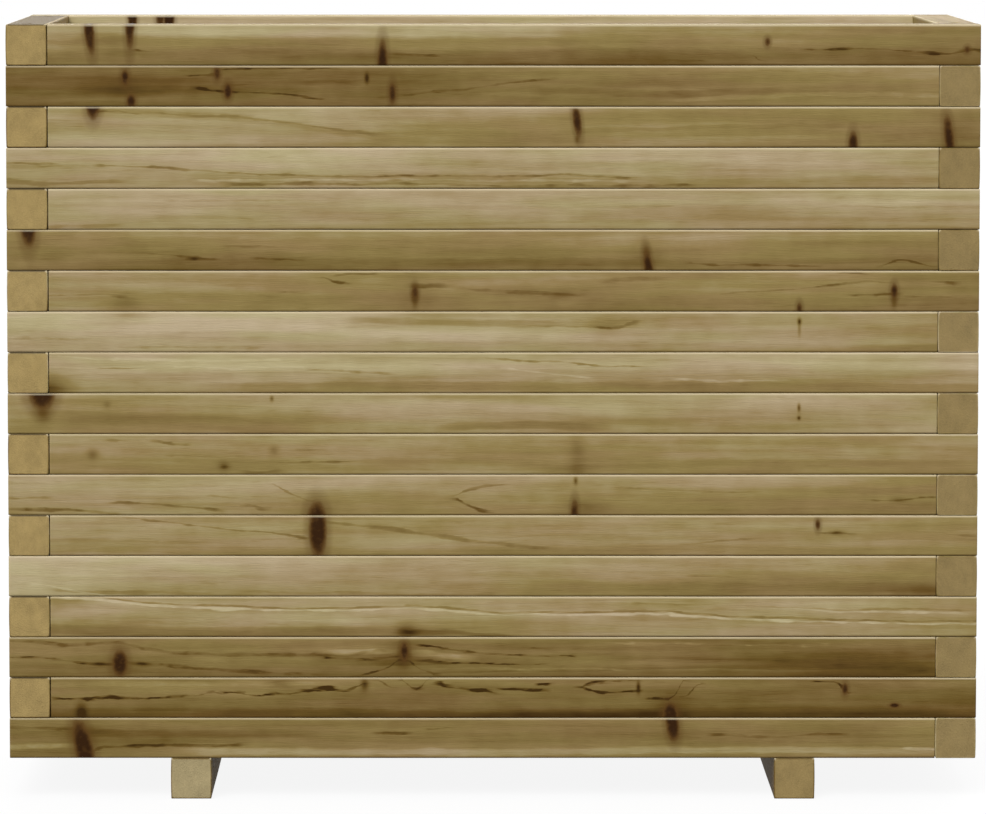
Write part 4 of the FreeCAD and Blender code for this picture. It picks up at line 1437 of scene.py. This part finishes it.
def make_object(name, vertices, quads, triangles, spots, fields, material):
    """A mesh object at the origin from whole arrays, with its bake map and its vectors."""
    mesh = bpy.data.meshes.new(name)
    mesh.vertices.add(len(vertices))
    mesh.vertices.foreach_set("co", vertices.astype(np.float32).ravel())
    corners = np.concatenate([quads.ravel(), triangles.ravel()]).astype(np.int32)
    starts = np.concatenate([
        np.arange(len(quads)) * 4,
        len(quads) * 4 + np.arange(len(triangles)) * 3,
    ]).astype(np.int32)
    mesh.loops.add(len(corners))
    mesh.loops.foreach_set("vertex_index", corners)
    mesh.polygons.add(len(starts))
    mesh.polygons.foreach_set("loop_start", starts)
    mesh.polygons.foreach_set("use_smooth", np.ones(len(starts), bool))
    mesh.update(calc_edges=True)
    layer = mesh.uv_layers.new(name="OFBake")
    layer.uv.foreach_set("vector", spots.astype(np.float32).ravel())
    for key, values in fields.items():
        attribute = mesh.attributes.new(key, "FLOAT_VECTOR", "POINT")
        attribute.data.foreach_set("vector", values.astype(np.float32).ravel())
    if mesh.validate():
        raise RuntimeError(f"{name} has faulty faces")
    mesh.materials.append(material)
    piece = bpy.data.objects.new(name, mesh)
    bpy.context.collection.objects.link(piece)
    return piece


def seat(piece, node):
    """Let a piece stand for its CAD node and move with the planter."""
    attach(piece, "root")
    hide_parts(node)


def turned(vertices, quarter_turns):
    """Vertices turned about the planter's upright axis."""
    angle = quarter_turns * math.pi / 2
    cosine, sine = round(math.cos(angle)), round(math.sin(angle))
    return np.stack(
        [
            vertices[:, 0] * cosine - vertices[:, 1] * sine,
            vertices[:, 0] * sine + vertices[:, 1] * cosine,
            vertices[:, 2],
        ],
        1,
    )


def weathering_and_shade(trim, end_dull_and_shade, top_dull_and_shade):
    """The trim with its last number, which marks the upper face, scaled by how far that face and the
    ends are greyed by weather and darkened as painted shade."""
    end, edge, upper = trim.T
    return np.stack([end, edge, upper * top_dull_and_shade + end * end_dull_and_shade], 1)


def closed_butt(bar, butt, gap):
    """A bar whose end at butt is cut askew: it reaches further by the gap at the inner face, less
    towards the outer face and not at all there, so that an open joint is closed at its back."""
    near = np.clip(1 - np.abs(bar[:, 0] - butt) / BUTT_RUN, 0, 1)
    inward = np.clip(bar[:, 1] / SLAT_MM + 0.5, 0, 1)
    return bar + np.outer(gap * near * inward, (1.0, 0.0, 0.0))


class Wall:
    """A wall of slats: its side, its quarter turns from the front, the seed that its courses count up
    from, and how far the ends and the upper faces of its slats are greyed by weather and painted
    darker as shade, 0 to 1."""

    def __init__(self, side, turns, seed, end_dull_and_shade, top_dull_and_shade):
        self.side = side
        self.turns = turns
        self.seed = seed
        self.end_dull_and_shade = end_dull_and_shade
        self.top_dull_and_shade = top_dull_and_shade


FRONT_WALL = Wall("front", 0, 100, 0.1, 0.5)
BACK_WALL = Wall("back", 2, 200, 0.2, 0.3)
SIDE_WALLS = (Wall("left", 3, 300, 0.0, 0.85), Wall("right", 1, 400, 0.36, 0.22))


def make_slat(wall, course, wood, half_length, half_out, node):
    """One slat of a wall: a bar along the wall, with its outer face on the planter's outside."""
    name = f"{wall.side}_slat_{course:02d}"
    seed = wall.seed + course
    sizes = bpy.context.scene.timber_sizes
    draw = np.random.default_rng(seed)
    begins = course % 2 == 0
    gap = (sizes.butt_gap if begins else sizes.tight_gap) / MM
    inside = half_length - SLAT_MM - gap
    start, stop = (-inside, half_length) if begins else (-half_length, inside)
    height = SLAT_MM - sizes.seam / MM
    screws = (SLAT_MM - half_length + BUTT_SCREW, half_length - CORNER_SCREW)
    holes = [(screw, 0.0, WALL_HOLE) for screw in screws if course == COURSE_COUNT]
    step = FRONT_STEP if wall is FRONT_WALL else STATION_STEP
    bar, quads, triangles, spots, trim = bar_surface(
        start, stop, SLAT_MM, height, sizes.edge_round, sizes, draw, step, holes
    )
    reach = gap + BUTT_BITE
    bar = closed_butt(bar, start, -reach) if begins else closed_butt(bar, stop, reach)
    fields = wood.fields(bar[:, 0], bar[:, 1] + SLAT_MM / 2, bar[:, 2], half_length, seed)
    # The upper face and the ends take weather-grey, partly painted shade.
    fields["trim"] = weathering_and_shade(trim, wall.end_dull_and_shade, wall.top_dull_and_shade)
    # The painted edge highlight and shade grow from the slat's start to its stop, and a much shaded rim has
    # less of them.
    fields["trim"][:, 1] *= np.interp(bar[:, 0], (start, stop), EDGE_PAINT_ALONG)
    if course == COURSE_COUNT:
        fields["trim"][:, 1] *= 1 - RIM_FALL * max(0.0, wall.top_dull_and_shade - RIM_PALE)
    middle = COURSE_LOW[2] / MM + (course - 0.5) * SLAT_MM
    placed = turned(bar + np.array([0.0, SLAT_MM / 2 - half_out, middle]), wall.turns)
    material = bpy.data.materials["treated_slat_timber"]
    piece = make_object(name, placed * MM, quads, triangles, spots, fields, material)
    seat(piece, node)


# The feet: node, finish, seed and how far the ends are greyed by weather and painted darker as
# shade.
FEET = (("left_foot", "treated_foot_timber", 501, 0.0), ("right_foot", "treated_slat_timber", 502, 0.25))
FOOT_PALE = 0.05
# How far the feet's upper faces, and the floor boards' ends and upper faces, take weather-grey, partly
# painted shade.
FOOT_TOP_DULL_AND_SHADE = 0.3
BOARD_SEED = 601
BOARD_PALE = 0.45
BOARD_DULLS_AND_SHADE = (0.2, 0.3)

# Roughness and strength of the saw marks of the slats, feet and floor boards.
SLAT_FINISH = (0.6, 0.0)
FOOT_FINISH = (0.64, 0.05)
FLOOR_FINISH = (0.72, 0.25)


class PLANTER_OT_materials(bpy.types.Operator):
    """Make the timber and steel materials"""

    bl_idname = "planter.materials"
    bl_label = "Materials"

    def execute(self, context):
        colours = context.scene.timber_colours
        timber_material("treated_slat_timber", colours, colours.end_grain, *SLAT_FINISH)
        timber_material("treated_foot_timber", colours, colours.foot_end, *FOOT_FINISH)
        timber_material("treated_floor_timber", colours, colours.end_grain, *FLOOR_FINISH)
        steel_material("plated_screw_steel", colours)
        return {"FINISHED"}


class PLANTER_OT_long_slats(bpy.types.Operator):
    """Make the front and back slats of every course"""

    bl_idname = "planter.long_slats"
    bl_label = "Long slats"

    def execute(self, context):
        for course in range(1, COURSE_COUNT + 1):
            node = f"course_{course:02d}_long_slats"
            back = BACK_TOP_WOOD if course == COURSE_COUNT else chance_wood(BACK_WALL.seed + course)
            for wall, wood in ((FRONT_WALL, FRONT_WOOD[course]), (BACK_WALL, back)):
                make_slat(wall, course, wood, HALF_WIDTH_MM, HALF_DEPTH_MM, node)
        return {"FINISHED"}


class PLANTER_OT_short_slats(bpy.types.Operator):
    """Make the left and right slats of every course"""

    bl_idname = "planter.short_slats"
    bl_label = "Short slats"

    def execute(self, context):
        for course in range(1, COURSE_COUNT + 1):
            node = f"course_{course:02d}_short_slats"
            for wall in SIDE_WALLS:
                wood = chance_wood(wall.seed + course, MEAN_PALE, HALF_DEPTH_MM)
                make_slat(wall, course, wood, HALF_DEPTH_MM, HALF_WIDTH_MM, node)
        return {"FINISHED"}


class PLANTER_OT_feet(bpy.types.Operator):
    """Make the two foot beams"""

    bl_idname = "planter.feet"
    bl_label = "Foot beams"

    def execute(self, context):
        sizes = context.scene.timber_sizes
        under_wall = HALF_DEPTH_MM - SLAT_MM / 2
        holes = [(screw, 0.0, WALL_HOLE) for screw in (-under_wall, under_wall)]
        for node, finish, seed, end_dull_and_shade in FEET:
            low, high = (np.array(corner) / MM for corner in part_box(node))
            wide, _, tall = high - low
            draw = np.random.default_rng(seed)
            bar, quads, triangles, spots, trim = bar_surface(
                low[1], high[1], wide, tall, sizes.foot_round, sizes, draw, STATION_STEP, holes, LOWER_FACE
            )
            wood = chance_wood(seed, FOOT_PALE, HALF_DEPTH_MM)
            fields = wood.fields(bar[:, 0], bar[:, 1] + wide / 2, bar[:, 2], high[1], seed)
            fields["trim"] = weathering_and_shade(trim, end_dull_and_shade, FOOT_TOP_DULL_AND_SHADE)
            middle = (low + high) / 2
            placed = turned(bar, 1) + np.array([middle[0], 0.0, middle[2]])
            material = bpy.data.materials[finish]
            piece = make_object(f"{node}_beam", placed * MM, quads, triangles, spots, fields, material)
            seat(piece, node)
        return {"FINISHED"}


class PLANTER_OT_floor_boards(bpy.types.Operator):
    """Make the floor boards"""

    bl_idname = "planter.floor_boards"
    bl_label = "Floor boards"

    def execute(self, context):
        sizes = context.scene.timber_sizes
        over_foot = -float(FOOT_LOW[0] + FOOT_HIGH[0]) / 2 / MM
        rows = (-BOARD_SCREW, BOARD_SCREW)
        holes = [(x, y, FLOOR_HOLE) for x in (-over_foot, over_foot) for y in rows]
        for seed, node in enumerate(BOARD_NODES, BOARD_SEED):
            low, high = (np.array(corner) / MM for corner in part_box(node))
            _, wide, thick = high - low
            draw = np.random.default_rng(seed)
            bar, quads, triangles, spots, trim = bar_surface(
                low[0], high[0], wide, thick, sizes.edge_round, sizes, draw, STATION_STEP, holes
            )
            wood = chance_wood(seed, BOARD_PALE)
            fields = wood.fields(bar[:, 0], bar[:, 2] + thick / 2, bar[:, 1], high[0], seed)
            fields["trim"] = weathering_and_shade(trim, *BOARD_DULLS_AND_SHADE)
            placed = bar + np.array([0.0, *((low + high) / 2)[1:]])
            material = bpy.data.materials["treated_floor_timber"]
            piece = make_object(f"{node}_plank", placed * MM, quads, triangles, spots, fields, material)
            seat(piece, node)
        return {"FINISHED"}


class PLANTER_OT_screws(bpy.types.Operator):
    """Give the screws their plated steel"""

    bl_idname = "planter.screws"
    bl_label = "Screws"

    def execute(self, context):
        for name in SCREW_NODES:
            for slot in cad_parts[name].material_slots:
                slot.material = bpy.data.materials["plated_screw_steel"]
        return {"FINISHED"}


# The floor: colour for bounced light, how plain white the camera sees it, half its side and how far it
# lies below the planter, both in metres.
FLOOR_BOUNCE = (0.15, 0.15, 0.15)
FLOOR_PLAIN = 0.9
FLOOR_REACH = 30.0
FLOOR_DROP = 0.0005
SHADE = (0.02, 0.018, 0.014)
WHITE = (1, 1, 1, 1)
SHEET_LINES = 25
FILL_LIGHT = 0.348
CAMERA_REACH = 100

# The lamps: name, azimuth, elevation, strength and spread, with angles in degrees.
LAMPS = (
    ("key_light", -18, 42, 3.1, 40),
    ("back_light", 165, 34, 2.2, 50),
    ("left_light", -100, 15, 0.8, 50),
    ("right_light", 100, 15, 1.0, 50),
)


def stage_light(name, azimuth, elevation, strength, spread):
    """A distant soft lamp: azimuth 0 shines from the front, and elevation is above the floor."""
    lamp = bpy.data.lights.new(name, "SUN")
    lamp.energy = strength
    lamp.angle = math.radians(spread)
    holder = bpy.data.objects.new(name, lamp)
    holder.rotation_euler = (math.radians(90 - elevation), 0.0, math.radians(azimuth))
    bpy.context.collection.objects.link(holder)


def stage_floor(tint):
    """A wide pale floor.  What the camera sees of it is mostly plain white, so the object's shadow on
    it is faint, and the light that bounces off it is weak."""
    material = bpy.data.materials.new("studio_floor")
    graph = Graph(material)
    lit = graph.node("ShaderNodeBsdfDiffuse", None, {"Color": (*tint, 1)})
    plain = graph.node("ShaderNodeEmission", None, {"Color": WHITE, "Strength": 1.0})
    bounced = graph.node("ShaderNodeBsdfDiffuse", None, {"Color": (*FLOOR_BOUNCE, 1)})
    shown = graph.blend(FLOOR_PLAIN, lit, plain)
    graph.output("ShaderNodeOutputMaterial", graph.blend(graph.seen(), bounced, shown))
    stage_sheet(material, (FLOOR_REACH, FLOOR_REACH), -FLOOR_DROP)


def stage_shade():
    """A dark sheet close under the floor boards: the drainage gaps look into shade, and not onto the
    plain white floor.  The lowest slats hide it from outside."""
    material = bpy.data.materials.new("studio_shade")
    graph = Graph(material)
    dark = graph.node("ShaderNodeBsdfDiffuse", None, {"Color": (*SHADE, 1)})
    graph.output("ShaderNodeOutputMaterial", dark)
    stage_sheet(material, BOX_HIGH[:2] - SLAT_MM / 2 * MM, FOOT_HIGH[2] - FLOOR_DROP)


def stage_sheet(material, reach, level):
    """A level grid about the planter's middle, named as its material: reach is half its two sides."""
    lines = [np.linspace(-half, half, SHEET_LINES) for half in reach]
    grid = np.stack(np.meshgrid(*lines, indexing="ij"), 2).reshape(-1, 2)
    vertices = np.concatenate([grid, np.full((len(grid), 1), level)], 1)
    number = np.arange(len(grid)).reshape(len(lines[0]), len(lines[1]))
    corners = [number[:-1, :-1], number[1:, :-1], number[1:, 1:], number[:-1, 1:]]
    quads = np.stack(corners, 2).reshape(-1, 4)
    mesh = bpy.data.meshes.new(material.name)
    mesh.from_pydata(vertices.tolist(), [], quads.tolist())
    mesh.materials.append(material)
    sheet = bpy.data.objects.new(material.name, mesh)
    bpy.context.collection.objects.link(sheet)


def stage_world(strength):
    """Even light all round, and white for what the camera and polished metal see."""
    world = bpy.data.worlds.new("studio_world")
    graph = Graph(world)
    fill = graph.node("ShaderNodeBackground", None, {"Color": WHITE, "Strength": strength})
    white = graph.node("ShaderNodeBackground", None, {"Color": WHITE, "Strength": 1.0})
    graph.output("ShaderNodeOutputWorld", graph.blend(graph.seen(), fill, white))
    bpy.context.scene.world = world


class PLANTER_OT_stage(bpy.types.Operator):
    """Make the floor, the lights and the camera"""

    bl_idname = "planter.stage"
    bl_label = "Stage"

    def execute(self, context):
        scene = context.scene
        settings = scene.stage_settings
        scene.view_settings.view_transform = "Standard"
        stage_floor(tuple(scene.timber_colours.floor))
        stage_shade()
        stage_world(FILL_LIGHT)
        for lamp in LAMPS:
            stage_light(*lamp)
        lens = bpy.data.cameras.new("camera")
        lens.lens = settings.lens
        lens.shift_x = settings.shift_x
        lens.shift_y = settings.shift_y
        lens.clip_end = CAMERA_REACH
        camera = bpy.data.objects.new("camera", lens)
        camera.location = (settings.camera_x, settings.camera_y, settings.camera_z)
        camera.rotation_euler = (math.pi / 2 - settings.tilt, 0.0, 0.0)
        context.collection.objects.link(camera)
        scene.camera = camera
        return {"FINISHED"}


class PLANTER_PT_panel(bpy.types.Panel):
    """The planter's steps and settings"""

    bl_idname = "PLANTER_PT_panel"
    bl_label = "Planter"
    bl_space_type = "VIEW_3D"
    bl_region_type = "UI"
    bl_category = "Planter"

    def draw(self, context):
        for operator in OPERATORS:
            self.layout.operator(operator.bl_idname)
        for key in GROUPS:
            group = getattr(context.scene, key)
            column = self.layout.column()
            for name in group.__annotations__:
                column.prop(group, name)


GROUPS = {
    "timber_sizes": TimberSizes,
    "timber_colours": TimberColours,
    "stage_settings": StageSettings,
}
OPERATORS = (
    PLANTER_OT_materials,
    PLANTER_OT_long_slats,
    PLANTER_OT_short_slats,
    PLANTER_OT_feet,
    PLANTER_OT_floor_boards,
    PLANTER_OT_screws,
    PLANTER_OT_stage,
)


def register():
    """Add the settings, the steps and the panel."""
    for name, group in GROUPS.items():
        bpy.utils.register_class(group)
        setattr(bpy.types.Scene, name, bpy.props.PointerProperty(type=group))
    for operator in OPERATORS:
        bpy.utils.register_class(operator)
    bpy.utils.register_class(PLANTER_PT_panel)


def unregister():
    """Take them away again."""
    bpy.utils.unregister_class(PLANTER_PT_panel)
    for operator in reversed(OPERATORS):
        bpy.utils.unregister_class(operator)
    for name, group in GROUPS.items():
        delattr(bpy.types.Scene, name)
        bpy.utils.unregister_class(group)


def main():
    """Dress the planter."""
    register()
    bpy.ops.planter.materials()
    bpy.ops.planter.long_slats()
    bpy.ops.planter.short_slats()
    bpy.ops.planter.feet()
    bpy.ops.planter.floor_boards()
    bpy.ops.planter.screws()
    bpy.ops.planter.stage()


if __name__ == "__main__":
    main()
